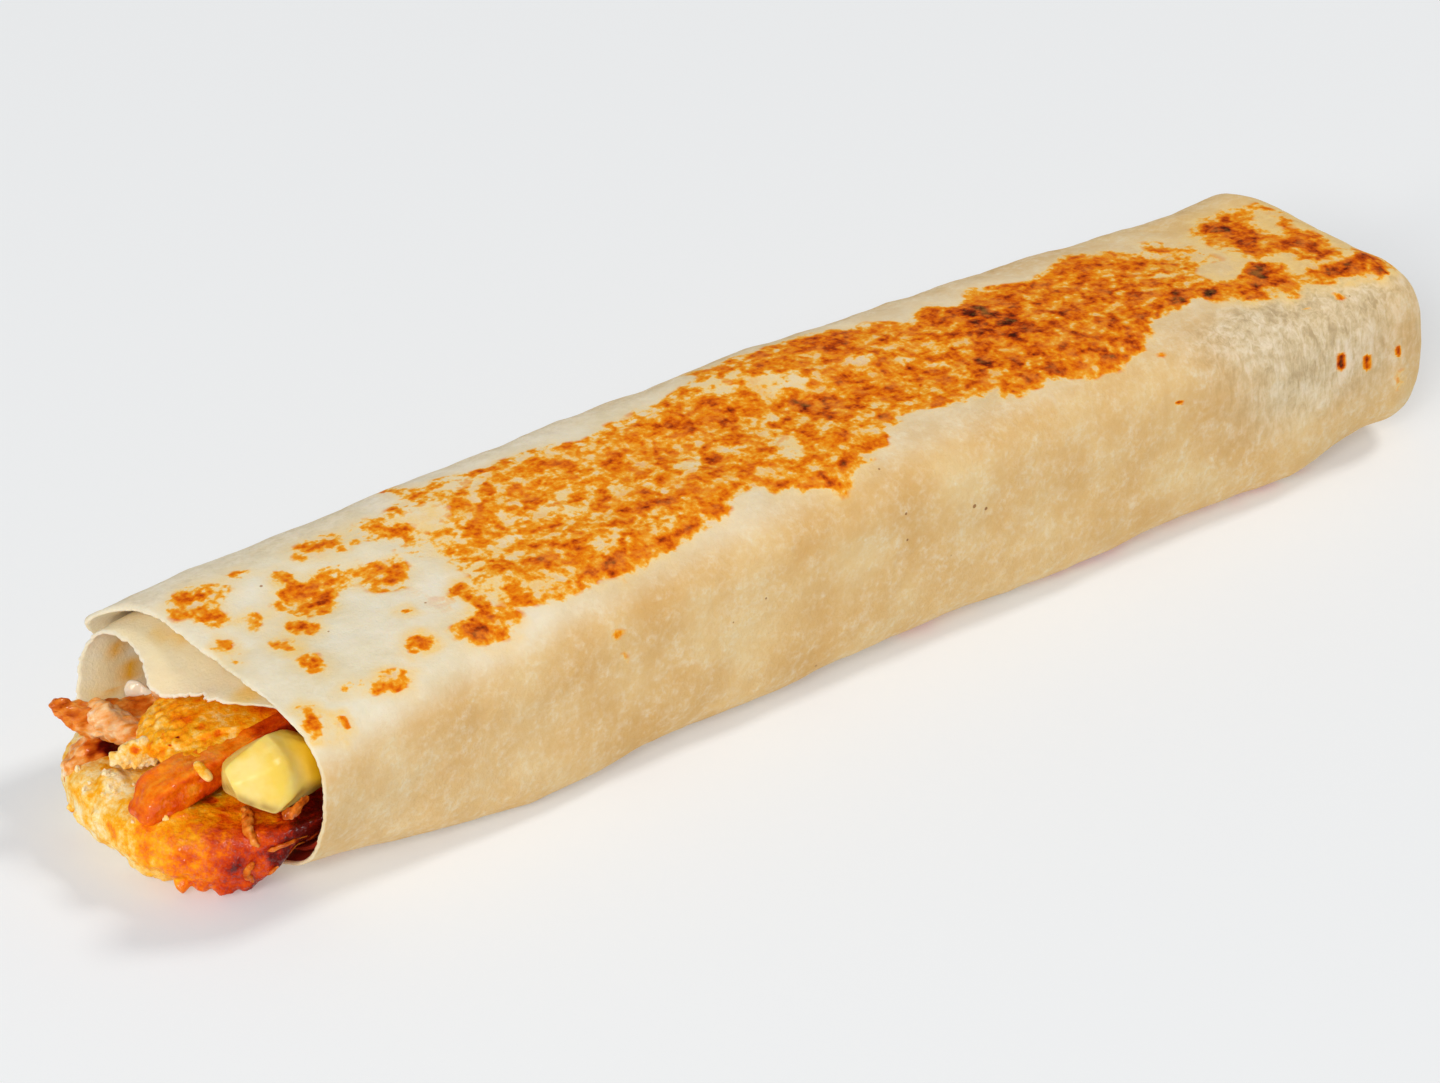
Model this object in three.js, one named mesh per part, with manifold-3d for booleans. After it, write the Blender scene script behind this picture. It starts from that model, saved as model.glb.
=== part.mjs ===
// A rolled and griddled flatbread wrap: open at the mouth, where its fillings stand out, and folded
// shut at the far end. Millimetres. +X runs from the mouth to the folded end, -Y is the front side,
// +Z is up, and the wrap lies on z = 0. Distances "in" are measured along +X from the mouth's edge.
import * as THREE from 'three';
import { mergeVertices } from 'three/addons/utils/BufferGeometryUtils.js';
import { SimplexNoise } from 'three/addons/math/SimplexNoise.js';
import Module from 'manifold-3d';

const wasm = await Module();
wasm.setup();

// Driving dimensions of the roll
const sheetLength = 227.5;
const fillingReach = 21;
const mouthToMiddle = 102.3;
const mouthWidth = 58.2;
const middleWidth = 50.8;
const endWidth = 47;
const mouthHeight = 31.8;
const middleHeight = 36.9;
const endHeight = 32.6;
const sheetThickness = 1.3;
const cornerPower = 4;
const settle = 0.5;
const clearance = 0.35;

// The folded end: how round it is from above and from the side, and how far its back corner falls short
const endPlanRadius = 9;
const endHeightRadius = 10;
const endBackCut = 4.5;
const endFoldStart = 0.45;
const endFoldTurns = 1.7;
const endFoldDepth = 1.4;
const endWall = 5;
const endRadius = Math.max(endPlanRadius, endHeightRadius);

// The mouth: the outer turn's pointed back corner, and the inner turn that stands out behind it
const cornerTipReach = 5;
const innerTurnReach = 3.5;
const innerTongueReach = 4.1;
const innerWallReach = 3.8;
const innerTurnSetback = 2;
const turnGapWide = 2;
const turnGapShut = 0.3;
const innerTurnDroop = 2.6;
const slotDepthWide = 40;
const slotDepthShut = 3;

// Angles run round the roll from the front (0) over the top (a quarter turn) to the back (half a turn)
const degrees = Math.PI / 180;
const cornerTipAngle = 158 * degrees;
const gapAngle = 98 * degrees;
const gapSpread = 48 * degrees;
const tongueAngle = 115 * degrees;
const wallAngle = 182 * degrees;
const lapAngle = 206 * degrees;
const lapFade = 70 * degrees;

const columns = 56;

// Places where the filling presses the sheet out, or the sheet sinks: in, angle, rise, and spread each way
const swells = [
  { along: 0, angle: -27, rise: -4.2, length: 17, arc: 20 },
  { along: 0, angle: 12, rise: 1.3, length: 14, arc: 25 },
  { along: 46, angle: -35, rise: 1.7, length: 15, arc: 22 },
  { along: 86, angle: -35, rise: 0.7, length: 12, arc: 22 },
  { along: 150, angle: -35, rise: 1.1, length: 14, arc: 22 },
  { along: 197, angle: -35, rise: 1, length: 7, arc: 20 },
  { along: 9, angle: 135, rise: 1.1, length: 10, arc: 20 },
  { along: 60, angle: 125, rise: 0.8, length: 45, arc: 25 },
  { along: 115, angle: 130, rise: 0.9, length: 14, arc: 25 },
  { along: 198, angle: 130, rise: -0.8, length: 18, arc: 25 },
  { along: 112, angle: 30, rise: 0.8, length: 25, arc: 20 },
  { along: 215, angle: -40, rise: -2.8, length: 13, arc: 20 },
  { along: 222, angle: 38, rise: 1.5, length: 12, arc: 14 },
  { along: 221, angle: 142, rise: 1.3, length: 9, arc: 16 },
  { along: 90, angle: 195, rise: 1, length: 30, arc: 25 },
  { along: 176, angle: 185, rise: 1.1, length: 24, arc: 25 },
];

// Small tools for shapes
const clamp = THREE.MathUtils.clamp;
const lerp = THREE.MathUtils.lerp;
const ease = (from, to, value) => THREE.MathUtils.smoothstep(value, from, to);
const bell = (distance, spread) => Math.exp(-((distance / spread) ** 2));

function makeRandom(seed) {
  let state = seed;
  const random = () => {
    state = (Math.imul(state, 1664525) + 1013904223) >>> 0;
    return state / 2 ** 32;
  };
  return { random };
}

function throughThree(first, middle, last, share) {
  const atFirst = 2 * (share - 0.5) * (share - 1);
  const atMiddle = -4 * share * (share - 1);
  const atLast = 2 * share * (share - 0.5);
  return first * atFirst + middle * atMiddle + last * atLast;
}

function turnBetween(angle, other) {
  const turn = (angle - other) % (2 * Math.PI);
  if (turn > Math.PI) return turn - 2 * Math.PI;
  if (turn < -Math.PI) return turn + 2 * Math.PI;
  return turn;
}

// Radius of a rounded box of half sizes a and b in the direction of an angle
function roundedBox(a, b, angle, power) {
  const across = Math.abs(Math.cos(angle) / a) ** power;
  const upright = Math.abs(Math.sin(angle) / b) ** power;
  return (across + upright) ** (-1 / power);
}

// A closed surface from a first pole, rings of equal count, and a last pole
function closedSurface(firstPole, rings, lastPole) {
  const count = rings[0].length;
  const points = [firstPole, ...rings.flat(), lastPole];
  const last = points.length - 1;
  const index = [];
  const at = (ring, column) => 1 + ring * count + (column % count);
  for (let column = 0; column < count; column += 1) {
    index.push(0, at(0, column), at(0, column + 1));
    for (let ring = 0; ring < rings.length - 1; ring += 1) {
      index.push(at(ring, column), at(ring + 1, column), at(ring + 1, column + 1));
      index.push(at(ring, column), at(ring + 1, column + 1), at(ring, column + 1));
    }
    index.push(last, at(rings.length - 1, column + 1), at(rings.length - 1, column));
  }
  const volume = index.reduce((sum, corner, place) => {
    if (place % 3 !== 0) return sum;
    const [second, third] = [points[index[place + 1]], points[index[place + 2]]];
    return sum + points[corner].dot(new THREE.Vector3().crossVectors(second, third));
  }, 0);
  const geometry = new THREE.BufferGeometry().setFromPoints(points);
  geometry.setIndex(volume < 0 ? index.reverse() : index);
  return geometry;
}

function toSolid(geometry) {
  const bare = geometry.clone();
  bare.deleteAttribute('normal');
  bare.deleteAttribute('uv');
  const merged = mergeVertices(bare, 1e-4);
  const solid = new wasm.Manifold(
    new wasm.Mesh({
      numProp: 3,
      vertProperties: new Float32Array(merged.attributes.position.array),
      triVerts: new Uint32Array(merged.index.array),
    }),
  );
  return solid;
}

function toGeometry(solid) {
  const mesh = solid.getMesh();
  const geometry = new THREE.BufferGeometry();
  geometry.setAttribute('position', new THREE.BufferAttribute(mesh.vertProperties, 3));
  geometry.setIndex(new THREE.BufferAttribute(mesh.triVerts, 1));
  geometry.computeVertexNormals();
  return geometry;
}

function largestBody(solid) {
  const bodies = solid.decompose();
  bodies.sort((one, other) => other.volume() - one.volume());
  return bodies[0];
}

// The flatbread: one sheet rolled into an outer turn and an inner turn

// Angles spaced evenly along the middle section, with two of them close together at the sheet's free edge
function evenAngles(count) {
  const samples = 1440;
  const lengths = [0];
  const point = (step) => {
    const angle = (step / samples) * 2 * Math.PI;
    const radius = roundedBox(middleWidth / 2, middleHeight / 2, angle, cornerPower);
    return new THREE.Vector2(radius * Math.cos(angle), radius * Math.sin(angle));
  };
  for (let step = 1; step <= samples; step += 1) {
    lengths.push(lengths[step - 1] + point(step).distanceTo(point(step - 1)));
  }
  const angles = [];
  let step = 0;
  for (let column = 0; column < count; column += 1) {
    const wanted = (lengths[samples] * column) / count;
    while (lengths[step] < wanted) step += 1;
    angles.push((step / samples) * 2 * Math.PI);
  }
  const lapHalfWidth = 1.2 * degrees;
  const atLap = angles.findIndex((angle) => angle > lapAngle);
  angles[atLap - 1] = lapAngle - lapHalfWidth;
  angles[atLap] = lapAngle + lapHalfWidth;
  return angles;
}

const ringAngles = evenAngles(columns);

const sheetNoise = new SimplexNoise(makeRandom(21));

// How far the sheet stands out of its plain rounded box
function fullness(along, angle) {
  let rise = 0;
  for (const swell of swells) {
    const turn = turnBetween(angle, swell.angle * degrees);
    rise += swell.rise * bell(along - swell.along, swell.length) * bell(turn, swell.arc * degrees);
  }
  const dents = 0.45 * sheetNoise.noise3d(along / 26, 1.6 * Math.cos(angle), 1.6 * Math.sin(angle));
  return rise + dents;
}

// The free edge of the sheet lies low along the back, one thickness proud of the turn beneath it
function lapRise(angle) {
  const past = turnBetween(lapAngle, angle);
  if (past < 0 || past > lapFade) return 0;
  return sheetThickness * (1 - ease(0, lapFade, past));
}

function endRounding(along, tip, radius) {
  const into = clamp(along - (tip - radius), 0, radius);
  return radius - Math.sqrt(radius ** 2 - into ** 2);
}

// A point of the roll at a depth below its outer face; tip is where this face ends, and cap runs from 0
// at the end face's rim to 1 at its middle
function rollPoint(along, angle, depth, tip, cap = 0) {
  const share = clamp(along / sheetLength, 0, 1);
  const halfWidth = throughThree(mouthWidth, middleWidth, endWidth, share) / 2;
  const halfHeight = throughThree(mouthHeight, middleHeight, endHeight, share) / 2;
  const a = (halfWidth - depth - endRounding(along, tip, endPlanRadius)) * (1 - cap);
  const b = (halfHeight - depth - endRounding(along, tip, endHeightRadius)) * (1 - cap);
  const shut = ease(tip - endRadius, tip, along);
  const plain = roundedBox(a, b, angle, cornerPower - 0.6 * shut);
  const lap = depth > 0 ? 0 : lapRise(angle) * (1 - shut);
  const radius = plain + lap + fullness(along, angle) * ease(2, 14, plain);
  const y = -radius * Math.cos(angle);
  const z = halfHeight - settle + radius * Math.sin(angle);
  const cut = endBackCut * ease(tip - 45, tip, along) * clamp((y + endWidth / 2) / endWidth, 0, 1);
  return new THREE.Vector3(along - cut, y, Math.max(z, depth));
}

// Folded layers wind inwards over the end face, each one a sheet deeper than the last
function endFold(share, angle) {
  const turn = angle / (2 * Math.PI);
  const wound = turn + (endFoldTurns * clamp(share - endFoldStart, 0, 1)) / (1 - endFoldStart);
  const layer = Math.floor(wound);
  const stepped = layer + ease(0, 0.35, wound - layer);
  return endFoldDepth * (stepped - turn) * ease(endFoldStart - 0.1, endFoldStart + 0.1, share);
}

function outerEdge(angle) {
  const ragged = 0.3 * sheetNoise.noise(5.2 * Math.cos(angle), 5.2 * Math.sin(angle));
  const backWall = bell(turnBetween(angle, cornerTipAngle), 11 * degrees);
  return ragged - cornerTipReach * backWall;
}

// The inner turn's torn edge: a tongue hangs over the fillings and the back wall stands out furthest
function innerEdge(angle) {
  const tongue = innerTongueReach * bell(turnBetween(angle, tongueAngle), 22 * degrees);
  const wall = innerWallReach * bell(turnBetween(angle, wallAngle), 24 * degrees);
  const torn = 0.9 * sheetNoise.noise(9 + 6 * Math.cos(angle), 6 * Math.sin(angle));
  const shown = ease(36 * degrees, 60 * degrees, angle) * (1 - ease(205 * degrees, 240 * degrees, angle));
  return innerTurnSetback - (innerTurnSetback + innerTurnReach + tongue + wall - torn) * shown;
}

function slotDepth(angle) {
  return lerp(slotDepthShut, slotDepthWide, bell(turnBetween(angle, gapAngle), 60 * degrees));
}

// Gap between the two turns: widest at the back of the mouth, closing further in
function turnGap(along, angle) {
  const wide = bell(turnBetween(angle, gapAngle), gapSpread);
  const open = 1 - ease(-12, slotDepth(angle), along);
  const droop = innerTurnDroop * (1 - ease(-8, 2, along));
  return turnGapShut + ((turnGapWide - turnGapShut) * open + droop) * wide;
}

const ringOf = (pointAt) => ringAngles.map(pointAt);
const spread = (count, from, to) =>
  Array.from({ length: count }, (_, step) => lerp(from, to, step / (count - 1)));

// Where the rings of the inside face lie, from the mouth (0) to the folded end (1)
const insideShares = [0, 0.025, 0.07, 0.15, 0.3, 0.5, 0.75, 1];

// Rings over the end face and its rounding, from near the middle outwards to where the side begins
function endRings(depth, tip, capRings, roundRings, folded) {
  const rings = [];
  const foldAt = (share, angle) => (folded ? endFold(share, angle) : 0);
  const capShare = 0.3;
  for (let step = capRings; step > 0; step -= 1) {
    const cap = step / (capRings + 1);
    const share = 1 - capShare + capShare * cap;
    rings.push(ringOf((angle) => {
      const point = rollPoint(tip, angle, depth, tip, cap);
      point.x -= foldAt(share, angle);
      return point;
    }));
  }
  for (let step = roundRings; step > 0; step -= 1) {
    const bend = step / roundRings;
    const along = tip - endRadius * (1 - Math.sin(bend * Math.PI / 2));
    rings.push(ringOf((angle) => {
      const point = rollPoint(along, angle, depth, tip);
      point.x -= foldAt((1 - capShare) * bend, angle);
      return point;
    }));
  }
  return rings;
}

function endPole(depth, tip, folded) {
  const point = rollPoint(tip, 0, depth, tip, 0.999);
  const sunk = folded ? endFoldDepth * endFoldTurns : 0;
  return new THREE.Vector3(point.x - sunk, 0, endHeight / 2 - settle);
}

function flatbreadSurface() {
  const sideEnd = sheetLength - endRadius;
  const innerTip = sheetLength - endWall;
  const innerDepth = (along, angle) => 2 * sheetThickness + turnGap(along, angle);
  const sideRow = (share, edge, depth) => ringOf((angle) => {
    const along = lerp(edge(angle), sideEnd, share);
    return rollPoint(along, angle, depth, sheetLength);
  });
  const slotRow = (share, from, to, depth) => ringOf((angle) => {
    const along = lerp(from(angle), to(angle), share);
    return rollPoint(along, angle, depth(along, angle), sheetLength);
  });
  const sheetDepth = () => sheetThickness;
  const turnDepth = (along, angle) => sheetThickness + turnGap(along, angle);
  const innerSideEnd = () => innerTip - endRadius;
  const innerEndDepth = 2 * sheetThickness + turnGapShut;
  const rings = [
    ...endRings(0, sheetLength, 3, 8, true),
    ...spread(24, 1, 0).map((share) => sideRow(share, outerEdge, 0)),
    ...[0, 0.1, 0.45, 1].map((share) => slotRow(share, outerEdge, slotDepth, sheetDepth)),
    ...[1, 0.6, 0.3, 0.15, 0].map((share) => slotRow(share, innerEdge, slotDepth, turnDepth)),
    ...insideShares.map((share) => slotRow(share, innerEdge, innerSideEnd, innerDepth)),
    ...endRings(innerEndDepth, innerTip, 1, 4, false).reverse(),
  ];
  return closedSurface(endPole(0, sheetLength, true), rings, endPole(innerEndDepth, innerTip, false));
}

// What the fillings must stay out of: the flatbread's two turns, and all that lies round them
const shellReach = 15;

function clearanceShell() {
  const innerTip = sheetLength - endWall;
  const mouth = (angle) => Math.min(innerEdge(angle), outerEdge(angle)) - clearance;
  const row = (share, depth) => ringOf((angle) => {
    const along = lerp(mouth(angle), innerTip - endRadius, share);
    return rollPoint(along, angle, depth(along, angle), sheetLength);
  });
  const outside = () => -shellReach;
  const inside = (along, angle) => 2 * sheetThickness + turnGap(along, angle) + clearance;
  const rings = [
    ...endRings(0, sheetLength, 1, 3, false),
    ...spread(4, 1, 0).map((share) => row(share, outside)),
    ...insideShares.map((share) => row(share, inside)),
    ...endRings(2 * sheetThickness + turnGapShut + clearance, innerTip - clearance, 1, 4, false).reverse(),
  ];
  const poles = [endPole(0, sheetLength, false), endPole(0, innerTip - clearance, false)];
  return toSolid(closedSurface(poles[0], rings, poles[1]));
}

// The fillings: lumps carried along a path, craggy where they are fried

const cragNoise = new SimplexNoise(makeRandom(5));

function crags(point, size) {
  const broad = cragNoise.noise3d(point.x / size, point.y / size, point.z / size);
  const fine = cragNoise.noise3d(point.x * 2.3 / size, point.y * 2.3 / size, point.z * 2.3 / size);
  return broad + 0.5 * fine;
}

// path: points its middle runs through. half: its half width and half height at a share of the path.
// ends: the share of the path over which each end rounds off. bend: moves its points. deep: its rings lie
// closer together at the mouth than further in. grow: makes the same shape larger all over, to cut its
// room in a neighbour.
function lump(form) {
  const { path, half, bend, deep, power = 2.5, rough = 0.5, cragSize = 7 } = form;
  const { rings = 14, sides = 16, ends = 0.2, grow = 0 } = form;
  const curve = new THREE.CatmullRomCurve3(path.map((point) => new THREE.Vector3(...point)));
  const length = curve.getLength();
  const up = new THREE.Vector3(0, 0, 1);
  const shape = (share) => {
    const toEnd = clamp(Math.min(share, 1 - share) / ends, 0, 1);
    return Math.max(0.02, (1 - (1 - toEnd) ** 2.6) ** (1 / 2.6));
  };
  const place = (share, angle, reach) => {
    const middle = curve.getPointAt(share);
    const forward = curve.getTangentAt(share);
    const side = new THREE.Vector3().crossVectors(forward, up).normalize();
    const rise = new THREE.Vector3().crossVectors(side, forward);
    const [width, height] = half(share);
    const radius = roundedBox(width * shape(share), height * shape(share), angle, power) * reach;
    const point = middle.clone();
    point.addScaledVector(side, radius * Math.cos(angle));
    point.addScaledVector(rise, radius * Math.sin(angle));
    const out = point.clone().sub(middle).normalize();
    point.addScaledVector(out, (rough * crags(point, cragSize) + grow) * reach);
    point.addScaledVector(forward, grow * 2 * (share - 0.5));
    if (bend) bend(point, share);
    return point;
  };
  const angles = spread(sides + 1, 0, 2 * Math.PI).slice(0, sides);
  const spaced = (share) => (deep ? share ** 2 : 0.5 - 0.5 * Math.cos(Math.PI * share));
  const shares = spread(rings, 0, 1).map(spaced);
  const inner = shares.map((share) => clamp(share, 0.4 / length, 1 - 0.4 / length));
  const rows = inner.map((share) => angles.map((angle) => place(share, angle, 1)));
  return closedSurface(place(0, 0, 0), rows, place(1, 0, 0));
}

// Breaded chicken, the lower piece: it fills the floor of the roll and its crust leads out of the mouth
function lowerChicken(grow) {
  // Its face at the mouth curves back on both sides, and its front corner lifts with the roll's own
  const bend = (point, share) => {
    const atMouth = 1 - ease(0, 0.3, share);
    const back = point.y < 2 ? 17 * ((2 - point.y) / 27) ** 3 : 14 * ((point.y - 2) / 26) ** 2;
    const lift = 4 * (Math.max(0, -14 - point.y) / 14) ** 2;
    point.x += back * atMouth;
    point.z += lift * atMouth;
  };
  return lump({
    path: [[-fillingReach, -1, 6.6], [4, -0.5, 7.2], [60, 0, 8.8], [sheetLength - 12, 0, 8.8]],
    half: (share) => [lerp(27.5, 20, share), 5.4],
    power: 3.8,
    rough: 1.1,
    cragSize: 8,
    rings: 28,
    sides: 30,
    ends: 0.022,
    deep: true,
    bend,
    grow,
  });
}

// Breaded chicken, the upper piece: a golden slab at the mouth that widens to fill the roll further in
function upperChicken() {
  const bend = (point, share) => {
    point.x += 0.9 * (point.z - 20) * (1 - ease(0.02, 0.12, share));
  };
  return lump({
    path: [[-9, 1.8, 18.4], [6, 0, 20], [40, 0, 22.5], [120, 0, 24], [sheetLength - 12, 0, 22.5]],
    half: (share) => {
      const wide = ease(0.06, 0.24, share);
      const tall = Math.sin(Math.PI * clamp(share, 0, 1));
      return [lerp(9.5, 21.5 - 2.5 * share, wide), lerp(2.9, 7.2, wide) + 1.2 * tall];
    },
    power: 3.2,
    rough: 0.8,
    cragSize: 8,
    rings: 24,
    sides: 24,
    ends: 0.03,
    deep: true,
    bend,
  });
}

// The small fillings that show at the mouth
const smallFillings = {
  fry_stick: {
    colour: 0xe07a1c,
    path: [[-18.4, -5.6, 14.2], [7, -7.6, 19.6], [46, -4, 22.5]],
    half: (share) => [lerp(3.8, 2.5, share), lerp(3.1, 2.3, share)],
    power: 4,
    rough: 0.25,
    ends: 0.06,
    rings: 14,
    sides: 14,
  },
  potato_chunk: {
    colour: 0xf4d35e,
    path: [[-11.6, -20.6, 22.4], [0, -22.6, 23], [10, -23.5, 23.6]],
    half: (share) => [lerp(3.4, 6.6, ease(0, 0.45, share)), lerp(3.6, 5.8, ease(0, 0.5, share))],
    power: 4.5,
    rough: 0.25,
    cragSize: 9,
    ends: 0.24,
    rings: 12,
    sides: 16,
  },
  meat_strip_outer: {
    colour: 0xc9813f,
    path: [[-19.8, 15.4, 22.8], [-16.6, 14.6, 19.4], [-9, 14.4, 15.4], [10, 15.5, 14.6]],
    half: (share) => [3.1, lerp(2.4, 3, Math.sqrt(share))],
    rough: 0.45,
    cragSize: 5,
    ends: 0.14,
    rings: 13,
    sides: 12,
  },
  meat_strip_lower: {
    colour: 0xdd9468,
    path: [[-19.2, 13.6, 9.8], [-13, 14.4, 10.4], [4, 17, 9]],
    half: (share) => [4.2, lerp(4.4, 3.4, share)],
    rough: 0.6,
    cragSize: 5,
    ends: 0.3,
    rings: 11,
    sides: 12,
  },
  meat_strip_pink: {
    colour: 0xe4b190,
    path: [[-12.8, 14.6, 20], [-9.6, 10.8, 16.4], [10, 9, 16]],
    half: () => [2.4, 2.2],
    rough: 0.4,
    cragSize: 5,
    ends: 0.16,
    rings: 11,
    sides: 12,
  },
  pale_slice: {
    colour: 0xecd6c0,
    path: [[-3.4, 12.6, 20.8], [6, 12.4, 21.4], [16, 12, 21.6]],
    half: () => [1.1, 3.4],
    rough: 0.25,
    cragSize: 5,
    ends: 0.14,
    rings: 9,
    sides: 10,
  },
  batter_flake: {
    colour: 0xf0d8a0,
    path: [[-14.2, 6.8, 14.4], [-9.6, 3, 16.2]],
    half: () => [2.8, 1.8],
    rough: 0.6,
    cragSize: 3,
    ends: 0.4,
    rings: 7,
    sides: 10,
  },
};

// Assembly: each piece gives way to the ones before it, with a small clearance

function mesh(name, geometry, colour, roughness) {
  const material = new THREE.MeshStandardMaterial({ color: colour, roughness, metalness: 0 });
  const made = new THREE.Mesh(geometry, material);
  made.name = name;
  return made;
}

const shell = clearanceShell();
const wrap = new THREE.Group();
wrap.position.x = -mouthToMiddle;
wrap.add(mesh('flatbread', toGeometry(toSolid(flatbreadSurface())), 0xe7d2a8, 0.8));

let taken = shell;
for (const [name, form] of Object.entries(smallFillings)) {
  const solid = largestBody(toSolid(lump(form)).subtract(taken));
  wrap.add(mesh(name, toGeometry(solid), form.colour, 0.5));
  taken = taken.add(toSolid(lump({ ...form, grow: clearance })));
}
const lower = largestBody(toSolid(lowerChicken(0)).subtract(taken));
wrap.add(mesh('crispy_chicken_lower', toGeometry(lower), 0xd9791f, 0.5));
taken = taken.add(toSolid(lowerChicken(clearance)));
const upper = largestBody(toSolid(upperChicken()).subtract(taken));
wrap.add(mesh('crispy_chicken_upper', toGeometry(upper), 0xe9a63c, 0.5));

const object = new THREE.Group();
object.add(wrap);

export default object;
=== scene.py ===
"""Looks of a griddled flatbread wrap: thin wheat bread rolled round crisp chicken, with a potato chunk, a
fry and strips of meat standing out of its open mouth. Shapes are worked out in millimetres, with x measured
from the mouth's edge to the folded end, y to the back and z up, and moved into the frame in metres."""
from itertools import product

import bpy
import numpy as np
from mathutils import Matrix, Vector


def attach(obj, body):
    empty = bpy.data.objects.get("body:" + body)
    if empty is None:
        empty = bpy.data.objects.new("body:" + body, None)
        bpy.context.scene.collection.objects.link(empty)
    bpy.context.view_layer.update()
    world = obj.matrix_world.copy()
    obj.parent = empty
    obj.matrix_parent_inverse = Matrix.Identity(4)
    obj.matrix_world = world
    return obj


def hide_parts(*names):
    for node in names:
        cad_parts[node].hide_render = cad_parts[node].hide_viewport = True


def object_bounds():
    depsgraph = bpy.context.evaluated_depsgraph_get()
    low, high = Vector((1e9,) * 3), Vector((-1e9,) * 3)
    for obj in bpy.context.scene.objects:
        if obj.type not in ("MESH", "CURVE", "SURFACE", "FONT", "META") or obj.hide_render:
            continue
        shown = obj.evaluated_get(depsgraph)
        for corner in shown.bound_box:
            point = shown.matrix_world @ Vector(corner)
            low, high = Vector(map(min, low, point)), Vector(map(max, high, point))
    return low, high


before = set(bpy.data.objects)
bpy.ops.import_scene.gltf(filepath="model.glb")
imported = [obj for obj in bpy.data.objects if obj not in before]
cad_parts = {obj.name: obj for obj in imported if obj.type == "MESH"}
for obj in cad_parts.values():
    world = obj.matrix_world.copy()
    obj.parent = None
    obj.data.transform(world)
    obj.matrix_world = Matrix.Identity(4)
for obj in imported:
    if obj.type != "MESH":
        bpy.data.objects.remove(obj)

cad_low, cad_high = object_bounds()

# Flatbread: one thin sheet of unleavened wheat bread rolled into two turns, open at the mouth and folded
# shut at the far end. It was pressed on a hot griddle, which left its top flat and a long patch of it
# toasted.

sheet_length = 227.5
mouth_to_middle = 102.3
widths = (58.2, 50.8, 47.0)
heights = (31.8, 36.9, 32.6)
sheet_thickness = 1.3
corner_power = 4.0
settle = 0.5
uneven_height = 0.3
uneven_length = 26.0
uneven_turns = 1.6

end_plan_radius = 9.0
end_height_radius = 10.0
end_radius = max(end_plan_radius, end_height_radius)
end_back_cut = 4.5
end_fold_start = 0.45
end_fold_turns = 1.7
end_fold_depth = 1.4
end_wall = 5.0

corner_tip_reach = 5.0
inner_turn_reach = 3.5
inner_tongue_reach = 4.1
inner_wall_reach = 3.8
inner_turn_setback = 2.0
turn_gap_wide = 2.0
turn_gap_shut = 0.3
inner_turn_droop = 2.6
slot_depth_wide = 40.0
slot_depth_shut = 3.0
torn_edge_bulge = 0.45
torn_edge_rows = 5

degrees = np.pi / 180
corner_tip_angle = 158 * degrees
gap_angle = 98 * degrees
gap_spread = 48 * degrees
slot_spread = 60 * degrees
tongue_angle = 115 * degrees
wall_angle = 182 * degrees
lap_angle = 206 * degrees
lap_fade = 70 * degrees

# Where the filling presses the sheet out or the sheet sinks: in from the mouth, angle round the roll from
# the front over the top, rise, and how far it spreads along and round
swells = [
    (0, -27, -4.2, 17, 20),
    (0, 12, 1.3, 14, 25),
    (46, -35, 1.7, 15, 22),
    (86, -35, 0.7, 12, 22),
    (150, -35, 1.1, 14, 22),
    (197, -35, 1.0, 7, 20),
    (9, 135, 1.1, 10, 20),
    (60, 125, 0.8, 45, 25),
    (115, 130, 0.9, 14, 25),
    (198, 130, -0.8, 18, 25),
    (112, 30, 0.8, 25, 20),
    (215, -40, -2.8, 13, 20),
    (222, 38, 1.5, 12, 14),
    (221, 142, 1.3, 9, 16),
    (90, 195, 1.0, 30, 25),
    (176, 185, 1.1, 24, 25),
]


def smooth(low, high, value):
    """0 below low, 1 above high, and an S-shaped rise between them"""
    share = np.clip((value - low) / (high - low), 0, 1)
    return share * share * (3 - 2 * share)


def bell(distance, spread):
    """1 in the middle, falling to 1/e at the spread"""
    return np.exp(-((distance / spread) ** 2))


def mix(one, other, share):
    """One value at share 0, the other at share 1 and a straight line between them"""
    return one + (other - one) * share


def through_three(values, share):
    """The parabola through three values at shares 0, a half and 1"""
    first, middle, last = values
    return (first * 2 * (share - 0.5) * (share - 1)
            - middle * 4 * share * (share - 1)
            + last * 2 * share * (share - 0.5))


def turn_between(angle, other):
    """From one angle to another the short way round, between minus and plus half a turn"""
    return np.mod(angle - other + np.pi, 2 * np.pi) - np.pi


def scattered(cells, seed):
    """A random 32-bit number for each cube of a grid, by multiplying and folding its three counts"""
    key = cells @ np.array([73856093, 19349663, 83492791]) + 2654435761 * (seed + 1)
    key = (key ^ (key >> 13)) * 1274126177 & 0xFFFFFFFF
    return (key ^ (key >> 15)) * 2246822519 & 0xFFFFFFFF


def noise(points, size, seed=0):
    """Gradient noise of features about one size across, scaled to about -1 to 1: each corner of a grid of
    cubes has a random direction, and the dot products with them are blended by a fifth-degree S curve"""
    full_range = 1.6
    place = np.asarray(points, float) / size
    cell = np.floor(place).astype(np.int64)
    inside = place - cell
    blend = inside ** 3 * (inside * (inside * 6 - 15) + 10)
    total = np.zeros(place.shape[:-1])
    for corner in product((0, 1), repeat=3):
        key = scattered(cell + corner, seed)
        turn = (key & 0xFFFF) / 65536 * 2 * np.pi
        height = (key >> 16) / 32768 - 1
        flat = np.sqrt(np.maximum(0, 1 - height ** 2))
        away = inside - corner
        slope = flat * (away[..., 0] * np.cos(turn) + away[..., 1] * np.sin(turn)) + away[..., 2] * height
        weight = np.prod(np.where(corner, blend, 1 - blend), axis=-1)
        total += weight * slope
    return full_range * total


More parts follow.
